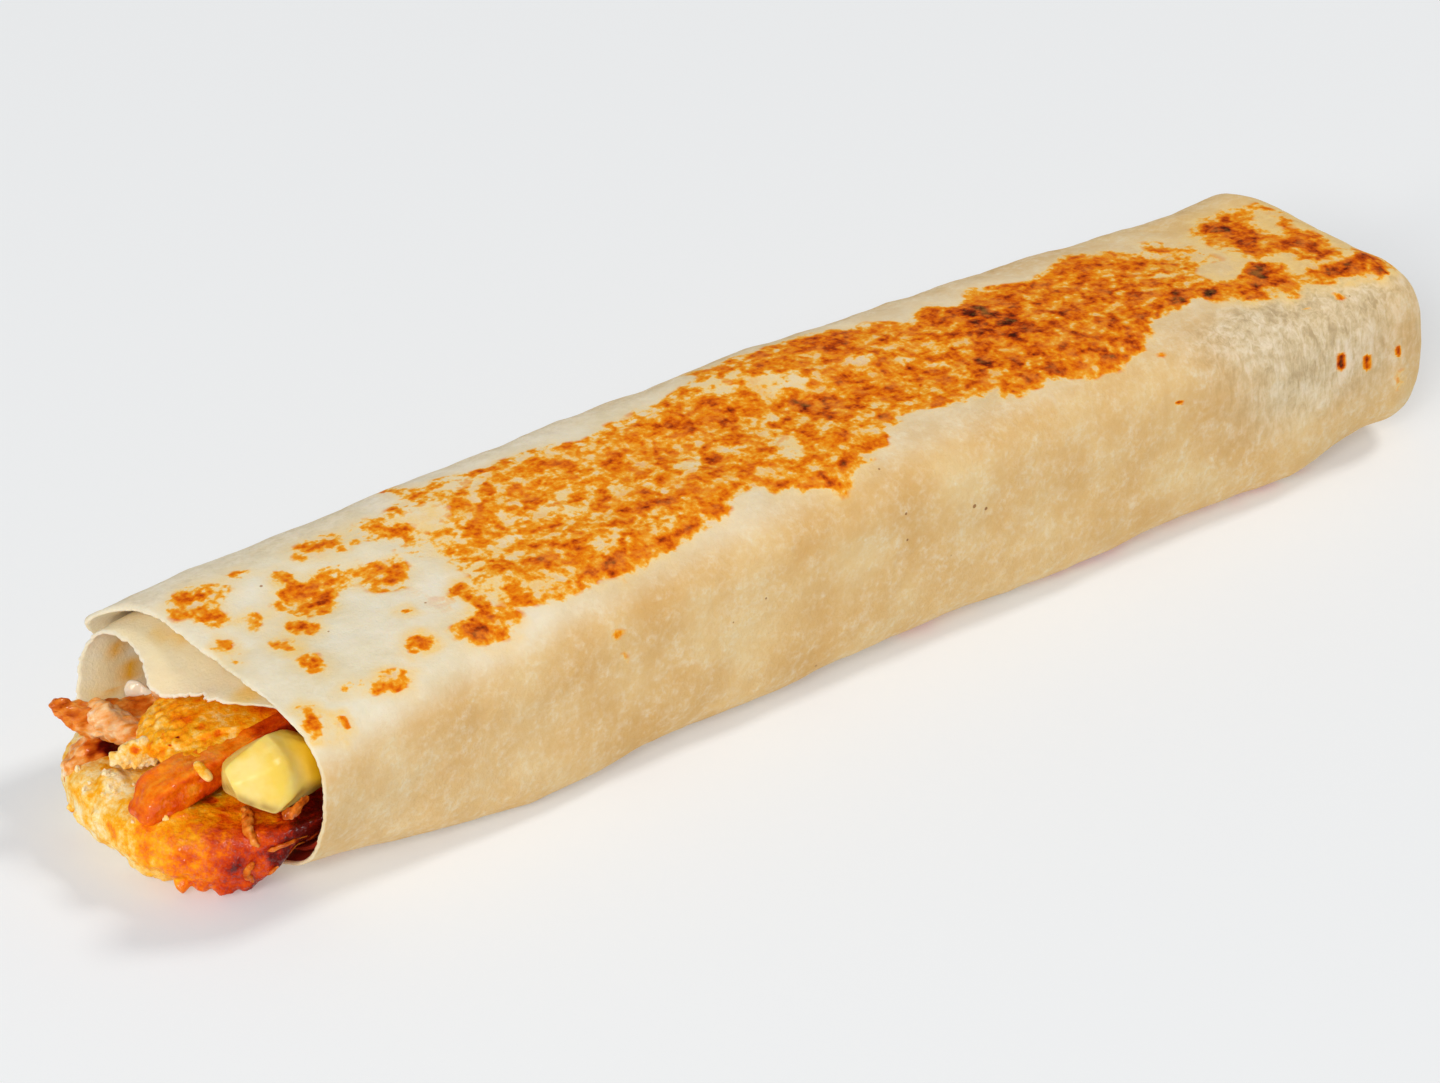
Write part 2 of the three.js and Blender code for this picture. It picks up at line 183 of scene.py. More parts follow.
def crag_height(points, size, seed=0):
    """Rounded lumps with sharp valleys between them, from 0 in a valley to 1 on a lump: one minus the
    distance to the nearest of random points, one in each cube of a grid"""
    place = np.asarray(points, float) / size
    cell = np.floor(place).astype(np.int64)
    nearest = np.full(place.shape[:-1], 9.0)
    for step in product((-1, 0, 1), repeat=3):
        neighbour = cell + step
        key = scattered(neighbour, seed)
        spot = np.stack([key & 0x3FF, (key >> 10) & 0x3FF, (key >> 20) & 0x3FF], -1) / 1024
        nearest = np.minimum(nearest, np.sum((neighbour + spot - place) ** 2, axis=-1))
    return 1 - np.clip(np.sqrt(nearest), 0, 1)


def rounded_box(a, b, angle, power):
    """Radius of a superellipse of half sizes a and b: (|cos/a|^p + |sin/b|^p)^(-1/p)"""
    return (np.abs(np.cos(angle) / a) ** power + np.abs(np.sin(angle) / b) ** power) ** (-1 / power)


def fullness(along, angle):
    """How far the sheet stands out of its plain rounded box: a sum of swells and low, broad waves"""
    rise = np.zeros(np.broadcast(along, angle).shape)
    for place, direction, height, length, arc in swells:
        turn = turn_between(angle, direction * degrees)
        rise = rise + height * bell(along - place, length) * bell(turn, arc * degrees)
    around = np.stack(np.broadcast_arrays(along / uneven_length, uneven_turns * np.cos(angle),
                                          uneven_turns * np.sin(angle)), -1)
    return rise + uneven_height * noise(around, 1, 3)


def lap_rise(angle):
    """The sheet's free edge lies low on the back, one thickness proud of the turn beneath it"""
    past = turn_between(lap_angle, angle)
    shown = (past >= 0) & (past <= lap_fade)
    return np.where(shown, sheet_thickness * (1 - smooth(0, lap_fade, past)), 0)


def end_rounding(along, tip, radius):
    """How far the skin draws in near the tip, as a quarter circle of the radius does"""
    into = np.clip(along - (tip - radius), 0, radius)
    return radius - np.sqrt(radius ** 2 - into ** 2)


def roll_point(along, angle, depth, tip=sheet_length, cap=0.0):
    """A point of the roll at a depth below its outer face: a superellipse whose half sizes follow a
    parabola along the roll, rounded off at the tip and closed by cap 1, plus the fullness and the lap"""
    share = np.clip(along / sheet_length, 0, 1)
    half_width = through_three(widths, share) / 2
    half_height = through_three(heights, share) / 2
    a = (half_width - depth - end_rounding(along, tip, end_plan_radius)) * (1 - cap)
    b = (half_height - depth - end_rounding(along, tip, end_height_radius)) * (1 - cap)
    shut = smooth(tip - end_radius, tip, along)
    plain = rounded_box(a, b, angle, corner_power - 0.6 * shut)
    lap = np.where(depth > 0, 0, lap_rise(angle) * (1 - shut))
    radius = plain + lap + fullness(along, angle) * smooth(2, 14, plain)
    y = -radius * np.cos(angle)
    z = half_height - settle + radius * np.sin(angle)
    cut = end_back_cut * smooth(tip - 45, tip, along) * np.clip(y / widths[2] + 0.5, 0, 1)
    return np.stack(np.broadcast_arrays(along - cut, y, np.maximum(z, depth)), -1)


def end_fold(share, angle):
    """Depth of the folded end's layers, which wind inwards over the end face, each a sheet deeper"""
    turn = angle / (2 * np.pi)
    wound = turn + end_fold_turns * np.clip(share - end_fold_start, 0, 1) / (1 - end_fold_start)
    stepped = np.floor(wound) + smooth(0, 0.35, wound - np.floor(wound))
    return end_fold_depth * (stepped - turn) * smooth(end_fold_start - 0.1, end_fold_start + 0.1, share)


def outer_edge(angle):
    """Where the outer turn ends at the mouth: slightly ragged, with a pointed back corner"""
    ring = np.stack([5.2 * np.cos(angle), 5.2 * np.sin(angle), 0 * angle], -1)
    nicks = 0.35 * noise(ring, 1, 7) + 0.22 * noise(ring * 7, 1, 8)
    return nicks - corner_tip_reach * bell(turn_between(angle, corner_tip_angle), 11 * degrees)


def inner_edge(angle):
    """Where the inner turn ends at the mouth: torn, with a tongue over the fillings and a tall back wall"""
    ring = np.stack([9 + 6 * np.cos(angle), 6 * np.sin(angle), 0 * angle], -1)
    tongue = inner_tongue_reach * bell(turn_between(angle, tongue_angle), 22 * degrees)
    wall = inner_wall_reach * bell(turn_between(angle, wall_angle), 24 * degrees)
    torn = 0.6 * noise(ring, 1, 9) + 0.6 * noise(ring * 4, 1, 10) + 0.3 * noise(ring * 11, 1, 11)
    shown = smooth(36 * degrees, 60 * degrees, angle) * (1 - smooth(205 * degrees, 240 * degrees, angle))
    return inner_turn_setback - (inner_turn_setback + inner_turn_reach + tongue + wall - torn) * shown


def slot_depth(angle):
    """How far in the gap between the turns reaches: deepest over the top of the mouth"""
    return mix(slot_depth_shut, slot_depth_wide, bell(turn_between(angle, gap_angle), slot_spread))


def turn_gap(along, angle):
    """Gap between the two turns: widest over the top of the mouth, closing further in"""
    wide = bell(turn_between(angle, gap_angle), gap_spread)
    opened = 1 - smooth(-12, slot_depth(angle), along)
    droop = inner_turn_droop * (1 - smooth(-8, 2, along))
    return turn_gap_shut + ((turn_gap_wide - turn_gap_shut) * opened + droop) * wide


def inner_depth(along, angle):
    """Depth of the inner turn's inner face below the roll's outer face"""
    return 2 * sheet_thickness + turn_gap(along, angle)


def grid_normals(rings):
    """Directions out of a closed grid of rings, square to its neighbouring points"""
    around = np.roll(rings, -1, 1) - np.roll(rings, 1, 1)
    across = np.gradient(rings, axis=0)
    square = np.cross(across, around)
    if np.sum(square * (rings - rings.mean(1, keepdims=True))) < 0:
        square = -square
    return square / np.maximum(np.linalg.norm(square, axis=-1, keepdims=True), 1e-9)


def placed_piece(name, points, faces, marks):
    """A piece from points in millimetres from the mouth, moved to the frame's place in metres. marks are
    numbers for its points, such as how toasted each one is, one list of them for each name."""
    mesh = bpy.data.meshes.new(name)
    metres = np.clip((points - [mouth_to_middle, 0, 0]) / 1000, cad_low, cad_high)
    mesh.from_pydata(metres, [], faces)
    for mark, values in marks.items():
        mesh.attributes.new(mark, "FLOAT", "POINT").data.foreach_set("value", values.astype(np.float32))
    piece = bpy.data.objects.new(name, mesh)
    bpy.context.scene.collection.objects.link(piece)
    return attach(piece, "root")


def closed_faces(rows, count):
    """Faces of a closed grid of rings: squares between the rings, then a fan round a pole at each end"""
    row, column = np.meshgrid(np.arange(rows - 1), np.arange(count), indexing="ij")
    here = row * count + column
    beside = row * count + (column + 1) % count
    ring = np.arange(count)
    following = (ring + 1) % count
    final = (rows - 1) * count
    return [np.stack([here, beside, beside + count, here + count], -1).reshape(-1, 4),
            np.stack([following, ring, np.full(count, rows * count)], -1),
            np.stack([final + ring, final + following, np.full(count, rows * count + 1)], -1)]


def closed_piece(name, rings, **marks):
    """A smooth closed skin from rings of equal count, shut by a pole at each end. Each mark is a grid of
    numbers like that of the rings' points, or one number for all of them."""
    rows, count = rings.shape[:2]
    poles = [rings[0].mean(0), rings[-1].mean(0)]
    points = np.concatenate([rings.reshape(-1, 3), poles])
    shapes = closed_faces(rows, count)
    corners = points[shapes[0]]
    volume = np.sum(corners[:, 0] * np.cross(corners[:, 1], corners[:, 2]))
    volume += np.sum(corners[:, 0] * np.cross(corners[:, 2], corners[:, 3]))
    if volume < 0:
        shapes = [shape[:, ::-1] for shape in shapes]
    for mark, values in marks.items():
        values = np.broadcast_to(values, (rows, count))
        marks[mark] = np.concatenate([values.ravel(), [values[0].mean(), values[-1].mean()]])
    piece = placed_piece(name, points, [face for shape in shapes for face in shape.tolist()], marks)
    piece.data.shade_smooth()
    return piece


def even_angles(a, b, power, count):
    """Angles whose points lie evenly along a superellipse's outline"""
    fine = np.linspace(0, 2 * np.pi, 4001)
    radius = rounded_box(a, b, fine, power)
    outline = np.stack([radius * np.cos(fine), radius * np.sin(fine)], -1)
    length = np.concatenate([[0], np.cumsum(np.linalg.norm(np.diff(outline, axis=0), axis=1))])
    return np.interp(np.arange(count) * length[-1] / count, length, fine)


def ring_angles(count):
    """Angles spread evenly round the middle section, with six more packed at the sheet's free edge"""
    even = even_angles(widths[1] / 2, heights[1] / 2, corner_power, count)
    packed = lap_angle + np.linspace(-1.2, 1.2, 6) * degrees
    even = even[np.abs(turn_between(even, lap_angle)) > 1.3 * degrees]
    return np.sort(np.concatenate([even, packed]))


def end_rows(angles, depth, tip, cap_rows, round_rows, folded):
    """Rings over the end face and its rounding, from near its middle outwards to where the side begins"""
    cap_share = 0.3
    near_middle = 0.985
    cap = np.linspace(near_middle, 0, cap_rows + 1)[:-1, None]
    face = roll_point(np.full_like(cap, tip), angles[None], depth, tip, cap)
    bend = np.linspace(1, 0, round_rows + 1)[:-1, None]
    along = tip - end_radius * (1 - np.sin(bend * np.pi / 2))
    rim = roll_point(along, angles[None], depth, tip)
    if folded:
        face[..., 0] -= end_fold(1 - cap_share + cap_share * cap, angles[None])
        rim[..., 0] -= end_fold((1 - cap_share) * bend, angles[None])
    return np.concatenate([face, rim])


def torn_thickness(from_edge):
    """The sheet is thinner at its torn edges"""
    return sheet_thickness * (0.55 + 0.45 * smooth(0, 4, from_edge))


def lip_rows(edge, angles, depth, other_depth):
    """A rounded edge between two faces of the sheet: half a turn from one depth to the other"""
    half = np.linspace(0, np.pi, torn_edge_rows + 2)[1:-1, None]
    depths = mix(depth, other_depth, (1 - np.cos(half)) / 2)
    return roll_point(edge[None] - torn_edge_bulge * np.sin(half), angles[None], depths)


points_round = 338
side_rows = 172
slot_rows = 12
inside_rows = 26
angles = ring_angles(points_round)
side_end = sheet_length - end_radius
inner_tip = sheet_length - end_wall
outer_lip = outer_edge(angles)
inner_lip = inner_edge(angles)
slot_end = slot_depth(angles)

side_share = np.linspace(1, 0, side_rows)[:, None] ** 1.1
side_along = mix(outer_lip[None], side_end, side_share)
side = roll_point(side_along, angles[None], 0.0)
slot_share = np.linspace(0, 1, slot_rows)[:, None] ** 1.6
slot_along = mix(outer_lip[None], slot_end[None], slot_share)
slot_outer = roll_point(slot_along, angles[None], torn_thickness(slot_along - outer_lip[None]))
turn_along = mix(inner_lip[None], slot_end[None], slot_share[::-1])
turn_face = roll_point(turn_along, angles[None], sheet_thickness + turn_gap(turn_along, angles[None]))
inside_share = np.linspace(0, 1, inside_rows)[:, None] ** 2
inside_along = mix(inner_lip[None], inner_tip - end_radius, inside_share)
inside_depth = inner_depth(inside_along, angles[None]) - sheet_thickness
inside_depth = inside_depth + torn_thickness(inside_along - inner_lip[None])
inside = roll_point(inside_along, angles[None], inside_depth)
turn_start = sheet_thickness + turn_gap(inner_lip, angles)
end_face = end_rows(angles, 0.0, sheet_length, cap_rows=14, round_rows=22, folded=True)
inner_end_depth = 2 * sheet_thickness + turn_gap_shut
inner_end = end_rows(angles, inner_end_depth, inner_tip, cap_rows=2, round_rows=5, folded=False)[::-1]
bread_parts = [
    end_face,
    side,
    lip_rows(outer_lip, angles, 0.0, torn_thickness(0)),
    slot_outer,
    turn_face,
    lip_rows(inner_lip, angles, turn_start, turn_start + torn_thickness(0)),
    inside,
    inner_end,
]
bread_rings = np.concatenate(bread_parts)


def by_part(*values):
    """A value for each part of the bread's skin, in the parts' order, as a column with one row a ring"""
    return np.repeat(values, [len(part) for part in bread_parts])[:, None]


outside_rows = by_part(1, 1, 0.5, 0, 0, 0, 0, 0)
turn_rows = by_part(0, 0, 0, 0.2, 0.6, 0.3, 0.5, 0)
# The sheet is never quite even: it bulges and dents by up to a quarter of a millimetre, at three sizes
relief = (0.26 * noise(bread_rings, 9, 20) + 0.13 * noise(bread_rings, 4, 21)
          + 0.06 * noise(bread_rings, 1.9, 22))
bread_rings = bread_rings + grid_normals(bread_rings) * (relief * (outside_rows + turn_rows))[..., None]
bread_rings[..., 2] = np.maximum(bread_rings[..., 2], 0)

# The toasted patch on the top face, seen from above: how far its ragged edges reach to the front and the
# back, and how thickly it is toasted, at places in from the mouth
toast_front = [
    (40, -15), (45, -21), (65, -21.5), (84, -19), (89, -15), (93, -18.5), (103, -23), (112, -19),
    (122, -12.5), (133, -15.5), (153, -18.5), (167, -18), (175, -12.5), (185, -10.8), (193, -15.5),
    (204, -15),
]
toast_back = [
    (34, 12), (48, 18), (70, 15), (78, 12), (100, 15), (110, 18), (126, 17), (138, 14), (141, 10.5),
    (148, 14), (152, 10), (157, 14.5), (167, 10), (177, 14), (184, 12.5), (189, 6), (193, 8), (197, 2),
    (204, -6),
]
toast_thickness = [
    (28, 0), (38, 0.14), (46, 0.38), (62, 0.48), (80, 0.52), (96, 0.56), (106, 0.46), (112, 0.62),
    (124, 0.66), (140, 0.76), (156, 0.82), (176, 0.78), (186, 0.68), (191, 0.3), (200, 0),
]
# Patches of toast outside it or thicker than it, then gaps where the bread shows pale, then burnt specks:
# each in from the mouth, to the back, half length, half width and strength
toast_patches = [
    (6, 13.5, 5.5, 4.5, 0.55), (5, 7.5, 2.6, 3.6, 0.45), (15, 15, 2.2, 1.6, 0.32),
    (19.5, 10, 1.5, 2.8, 0.5), (28.5, 13, 4.6, 3.4, 0.5), (37, 11, 4.5, 4, 0.32), (19, 3, 5, 5.5, 0.58),
    (26, 4.5, 4, 3, 0.34), (32, 0, 4.2, 5, 0.6), (9.8, 3.2, 1.8, 2.6, 0.55), (2.3, 1, 1.4, 1.4, 0.5),
    (2, -3, 0.9, 2.4, 0.4), (9.3, -4.8, 2.2, 2.2, 0.6), (10, -7.3, 0.9, 0.9, 0.6), (14, -3.4, 2, 2.6, 0.68),
    (19.7, -1.5, 1.8, 2, 0.5), (10, -12.6, 2, 2.8, 0.5), (28.2, -10.6, 1.1, 0.9, 0.85),
    (25.3, -18, 2, 1.6, 1), (17.3, -22.3, 4, 1.5, 0.7), (2.7, -21.4, 1.4, 2.4, 0.68),
    (1.8, -24.6, 1.5, 1.4, 1), (6, -25, 1.1, 0.9, 0.9), (11, -20.5, 2, 0.9, 0.36),
    (36.5, -19.8, 6, 3.4, 0.9), (38.7, -13, 1.6, 4.6, 0.85), (48, 20, 1.6, 4, 0.32),
    (105.5, 19, 1.4, 4, 0.32), (65, -19, 16, 2.2, 0.3), (56, -12, 8, 4, 0.2), (75, -9, 8, 4, 0.2),
    (86, -14.5, 6, 2.6, 0.3), (82, 2, 6, 5, 0.2), (61, 4, 3, 4, 0.12), (52, 4, 3, 5, 0.14),
    (96, 4, 8, 4, 0.12), (103, -19, 5, 2, 0.2), (113.3, -3.5, 4, 5, 0.35), (192, -11, 4.6, 3.8, 0.6),
    (200.5, -9, 4.2, 4.2, 0.9), (198, -13.5, 6.4, 3.2, 0.7), (205, 4, 5.6, 9, 0.95),
    (212.5, -5.2, 4.8, 6, 0.85), (215.6, 6, 1.8, 5.6, 0.5), (210, -14, 6.4, 3.4, 0.75),
    (216, -15.4, 5.4, 3.4, 0.75), (219, -12.6, 2.6, 4.4, 0.7), (210, 10, 5, 3, 0.35), (192, 5, 5, 6, 0.3),
]
toast_gaps = [
    (46.5, 8.5, 4.6, 4.8, 0.3), (34.5, 6.5, 3, 3, 0.5), (37.5, -5.5, 4, 5.6, 0.7),
    (64.5, -1, 2.6, 5.4, 0.3), (56, 13.5, 4, 2, 0.3), (87, -4.8, 2.4, 2.4, 0.4), (102, -10, 2.8, 5.4, 0.38),
    (104, 11, 5, 3, 0.3), (114, 6, 4.6, 4.2, 0.42), (122, -9, 3, 2, 0.3), (129, 3.5, 1.4, 1.4, 0.4),
    (134, 0.2, 1.6, 1.4, 0.4), (137.5, -4, 2, 1.6, 0.35), (145, 4, 1.6, 1.6, 0.35),
    (185.5, -1.5, 2, 2.2, 0.5), (170.5, 6, 2.2, 2.2, 0.35), (195, -5, 5.4, 2.8, 0.36),
    (72, -2, 2.4, 3, 0.15), (75, -15.5, 3, 1.6, 0.2), (166, 2, 1.5, 1.8, 0.2),
]
burnt_specks = [
    (42, 7.6, 0.7, 2, 0.5), (32, 16.8, 0.5, 0.8, 0.5), (25.3, -18, 1, 0.8, 0.35),
    (38.6, -14.5, 0.7, 1.8, 0.3), (59.5, 3.4, 1.2, 0.9, 0.35), (81.5, -2.4, 0.9, 1, 0.35),
    (88.5, -9, 1.2, 1.4, 0.3), (90, 7.5, 0.7, 1.2, 0.35), (112, -1.2, 1.6, 2, 0.75),
    (115.8, -1, 1, 1.2, 0.4), (114, -6, 1.6, 2, 0.25), (153, 1.5, 5.4, 6.5, 0.4),
    (152.5, 6.7, 3.4, 1.7, 0.7), (151, 0.6, 5.6, 1.1, 0.55), (142, -7.5, 2.4, 2.6, 0.35),
    (142.8, -5.8, 1, 0.8, 0.4), (175, -9, 3.4, 2.6, 0.22), (182, -8.5, 1.8, 2.9, 1.1),
    (188, -9.7, 1.4, 2.4, 1.15), (181, -2, 2.6, 3, 0.12), (200.6, -8.6, 2, 2, 0.35),
    (205, 5.5, 2.4, 4, 0.25), (212.5, -5, 2, 2.6, 0.15), (206.7, -19.2, 0.6, 0.7, 0.8),
    (218.6, -18, 0.6, 0.6, 0.8), (200.8, -19.6, 0.7, 0.4, 0.5), (170.4, -19.4, 0.8, 0.3, 0.7),
]


def patches(x, y, marks, halo=0.0):
    """Sum of soft-edged ellipses, each with a place, half sizes and a strength; a halo widens them all"""
    total = np.zeros(x.shape)
    for mark_x, mark_y, length, width, strength in marks:
        apart = np.hypot((x - mark_x) / (length + halo), (y - mark_y) / (width + halo))
        total = total + strength * (1 - smooth(0.5, 1.25, apart))
    return total


def toasting(points):
    """How thickly a face pressed on the griddle is toasted, from 0 to 1, how tan it is round that, and how
    burnt: the patch between its borders plus other patches less gaps, all pushed about by noise"""
    ragged = 1.3
    push_x = noise(points, 5, 30) + 0.5 * noise(points, 2, 32)
    push_y = noise(points, 5, 31) + 0.5 * noise(points, 2, 33)
    x = points[..., 0] + ragged * push_x
    y = points[..., 1] + ragged * push_y
    front = np.interp(x, *np.transpose(toast_front))
    back = np.interp(x, *np.transpose(toast_back))
    thickness = np.interp(x, *np.transpose(toast_thickness))
    within = smooth(-1, 1.4, y - front) * smooth(-1, 2.6, back - y)
    marked = patches(x, y, toast_patches)
    gaps = patches(x, y, toast_gaps)
    amount = np.clip(within * thickness + marked - gaps, 0, mix(0.58, 1.0, smooth(24, 40, x)))
    ends = smooth(36, 44, x) * (1 - smooth(188, 200, x))
    around = patches(x, y, toast_patches, 1.6)
    tan = smooth(-3, 4, y - front) * smooth(-3, 5, back - y) * ends + 1.3 * around - 0.35 * gaps
    tan = np.clip(tan + 0.6 * smooth(192, 202, x) * bell(y + 2, 14), 0, 1)
    burnt = patches(x, y, burnt_specks)
    return 1.02 * amount + 0.4 * burnt, tan, burnt


along, across, height_up = np.moveaxis(bread_rings, -1, 0)
on_top = smooth(22, 28, height_up) * outside_rows
turned_over = (bread_rings - [sheet_length, 0, 0]) * [-1, 1, 1]
on_underside = (1 - smooth(0.5, 3, height_up)) * outside_rows
toast, tan, burnt = (top * on_top + under * on_underside
                     for top, under in zip(toasting(bread_rings), toasting(turned_over)))

# Burnt dashes on the front side near the folded end and a few specks along it: in, up, half length, half
# height and strength
side_marks = [
    (204.6, 22, 0.75, 2, 0.5), (210.2, 20, 0.75, 2, 0.5), (217.1, 19.5, 0.75, 1.5, 0.5),
    (170.9, 26.5, 0.75, 0.7, 0.5), (218.1, 14, 2, 2.4, 0.16), (56.7, 26.7, 1, 1, 0.3),
    (57.5, 22, 1.2, 1.6, 0.2),
]
on_front = 1 - smooth(-22, -20, across)
side_toast = patches(along, height_up, side_marks) * on_front * outside_rows
toast = toast + side_toast
tan = np.clip(tan + 0.6 * side_toast, 0, 1)
burnt = burnt + 5 * side_toast * smooth(0.2, 0.4, side_toast)

# Oil has coloured the sides of the roll tan, most along its middle, and left the dry top floury. Near the
# folded end the front side is grey with steam.
oil_line = np.interp(along, [0, 50, 110, 200], [26, 31, 35.5, 35])
oiled = (1 - smooth(-3, 3, height_up - oil_line)) * (0.92 + 0.08 * smooth(10, 70, along)) * outside_rows
oiled = oiled + 0.5 * on_top * smooth(196, 206, along) * bell(across + 9, 12)
greyed = patches(along, across, [(200, -20, 26, 6, 0.85)]) * smooth(8, 22, height_up) * outside_rows
# Along its back edge the top is greyer too
greyed = greyed + 0.3 * smooth(13, 20, across) * on_top

# Sauce and oil have soaked into the inner turn, mostly down the back wall
inner_rows = by_part(0, 0, 0, 0, 1, 1, 1, 0)
inward = by_part(0, 0, 0, 0, 0, 0.5, 1, 1)
soaked = 0.5 + 0.5 * noise(bread_rings, 7, 40) + 0.25 * noise(bread_rings, 3, 41)
stain = smooth(0.45, 1.1, soaked) * (0.12 + 0.2 * inward) + 0.06 * smooth(12, 22, across) * inward

# Golden stains where oil ran down the back wall and along the tongue's edge: place, radius and strength
stain_spots = [
    (1.9, 25.8, 15.3, 2.6, 1), (-2.9, 26, 12.5, 1.4, 0.9), (-1.1, 25.7, 20.1, 2.2, 0.6),
    (-0.7, 13.5, 29, 2.5, 0.45), (0.7, 10.5, 29, 2.5, 0.5), (-0.3, -9.5, 28.9, 3, 0.6),
]


def spots(points, marks, core=0.35):
    """Sum of round spots, each with a place, a radius and a strength, fading from core to past the rim"""
    total = np.zeros(points.shape[:-1])
    for *place, reach, strength in marks:
        apart = np.linalg.norm(points - np.array(place), axis=-1) / reach
        total = total + strength * (1 - smooth(core, 1.2, apart))
    return total


stain = np.clip((np.clip(stain, 0, 1) + spots(bread_rings, stain_spots, 0.3)) * inner_rows, 0, 1)
# Red sauce fills the gap and coats the inner turn in the low front corner of the mouth
sauced_rows = by_part(0, 0, 0, 1, 1, 1, 1, 0)
sauced = sauced_rows * smooth(12, 19, -across) * (1 - smooth(17, 23, height_up))

flatbread = closed_piece("flatbread_sheet", bread_rings, toast=toast, tan=tan, burnt=burnt, oiled=oiled,
                         greyed=greyed, stain=stain, sauced=sauced, inner=inner_rows, inward=inward)
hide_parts("flatbread")


def linear(colour):
    """An sRGB hex colour as linear red, green, blue and alpha"""
    value = np.array([int(colour[start:start + 2], 16) for start in (1, 3, 5)]) / 255
    value = np.where(value <= 0.04045, value / 12.92, ((value + 0.055) / 1.055) ** 2.4)
    return (*value, 1.0)


def node(tree, kind, sockets=None, stops=(), **settings):
    """Adds a shader node with its settings by name, its sockets from values, hex colours or other nodes'
    outputs, and a colour ramp's stops as pairs of place and hex colour"""
    made = tree.nodes.new("ShaderNode" + kind)
    for name, value in settings.items():
        setattr(made, name, value)
    for name, value in (sockets or {}).items():
        if isinstance(value, bpy.types.Node):
            value = next(output for output in value.outputs if output.enabled)
        if isinstance(value, bpy.types.NodeSocket):
            tree.links.new(value, made.inputs[name])
        else:
            made.inputs[name].default_value = linear(value) if isinstance(value, str) else value
    if stops:
        elements = made.color_ramp.elements
        while len(elements) > 1:
            elements.remove(elements[0])
        elements[0].position = stops[0][0]
        elements[0].color = linear(stops[0][1])
        for place, colour in stops[1:]:
            elements.new(place).color = linear(colour)
    return made


def new_material(name, piece):
    """An empty material on a piece: its node tree, with the Object coordinates in metres"""
    material = bpy.data.materials.new(name)
    material.use_nodes = True
    material.node_tree.nodes.clear()
    piece.data.materials.append(material)
    return material.node_tree, node(material.node_tree, "TexCoord").outputs["Object"]


# Noise scales count features for each metre, so a pattern of a size in millimetres has per_mm / size
per_mm = 1000.0

# Sockets by number: in a MapRange node 0 is the value, 1 and 2 the range it has and 3 and 4 the range it
# gets, each 0 to 1 unless given. In a Mix node 0 is the share, with 6 and 7 two colours or 2 and 3 numbers.

# Griddled lavash: dry, floury and matte on top and tanned by oil down its sides. The griddle left speckles
# of toast a millimetre or two across, golden to near black, on a pale tan ground.
tree, place = new_material("griddled_lavash", flatbread)
toast, tan, burnt, oiled, greyed, stain, sauced, inner, inward = [
    node(tree, "Attribute", attribute_name=mark)
    for mark in ("toast", "tan", "burnt", "oiled", "greyed", "stain", "sauced", "inner", "inward")]
# Noise of six sizes in millimetres, with its detail, roughness and distortion
mottle, veil, speckle, flecks, flour, grains = [
    node(tree, "TexNoise", {"Vector": place, "Scale": per_mm / size, "Detail": detail,
                            "Roughness": roughness, "Distortion": distortion})
    for size, detail, roughness, distortion in (
        (14, 5.0, 0.6, 0.0), (3.5, 4.0, 0.65, 0.0), (3.2, 1.5, 0.5, 0.4),
        (1.3, 1.5, 0.5, 0.0), (1.1, 3.0, 0.65, 0.0), (0.55, 2.0, 0.6, 0.0))]
dry = node(tree, "ValToRGB", {"Fac": mottle}, [(0.34, "#e2d4b2"), (0.5, "#e9dec3"), (0.66, "#efe7d3")])
oily = node(tree, "ValToRGB", {"Fac": mottle}, [(0.34, "#dcb06e"), (0.5, "#e3bd80"), (0.66, "#e9cb94")])
dusted = node(tree, "Math", {0: node(tree, "MapRange", {0: flour, 1: 0.42, 2: 0.72, 4: 0.6}),
                             1: node(tree, "MapRange", {0: veil, 1: 0.4, 2: 0.65, 3: 0.15})},
              operation="MULTIPLY")

# Where steam has wetted the bread it is crinkled and grey, in fine lines that run round the roll
upright = node(tree, "Mapping", {"Vector": place, "Scale": (1.0, 1.0, 0.3)})
crinkle = node(tree, "TexNoise", {"Vector": upright, "Scale": per_mm / 1.2, "Detail": 4.0,
                                  "Roughness": 0.65, "Distortion": 0.7})
wetness = node(tree, "Mix", {0: 0.45, 2: crinkle, 3: veil})
steamed = node(tree, "ValToRGB", {"Fac": wetness}, [(0.38, "#baa482"), (0.48, "#d8c5a0"), (0.6, "#f0e2ca")])

# Specks of scorched flour, under a millimetre across. They differ in size with their cell's random colour,
# and the smallest don't show.
scorched = node(tree, "TexVoronoi", {"Vector": place, "Scale": per_mm / 5})
grown = node(tree, "Math", {0: scorched.outputs["Color"], 1: 0.12, 2: -0.03}, operation="MULTIPLY_ADD")
reach = node(tree, "Math", {0: grown, 1: scorched.outputs["Distance"]}, operation="SUBTRACT")
speck = node(tree, "MapRange", {0: reach, 2: 0.02, 4: 0.8})

# The inner turn wasn't griddled: oil has tinted its outer face, and its inner face is nearly white. That
# white is partly its own pale colour and partly painted light, standing in for the light that comes through
# the thin sheet into the shaded mouth.
unbaked_with_painted_light = node(tree, "Mix", {0: inward, 6: "#f6dfb6", 7: "#fff3d6"}, data_type="RGBA")

# The ground between the speckles is tan, and deeper where the toast is thick
tan_patchy = node(tree, "MapRange", {0: veil, 1: 0.35, 2: 0.6, 3: 0.35, 4: 0.95})
tan_share = node(tree, "Math", {0: tan, 1: tan_patchy}, operation="MULTIPLY")
deepened = node(tree, "MapRange", {0: toast, 1: 0.3, 2: 0.75})
ground = node(tree, "Mix", {0: deepened, 6: "#f3cf86", 7: "#e9a456"}, data_type="RGBA")

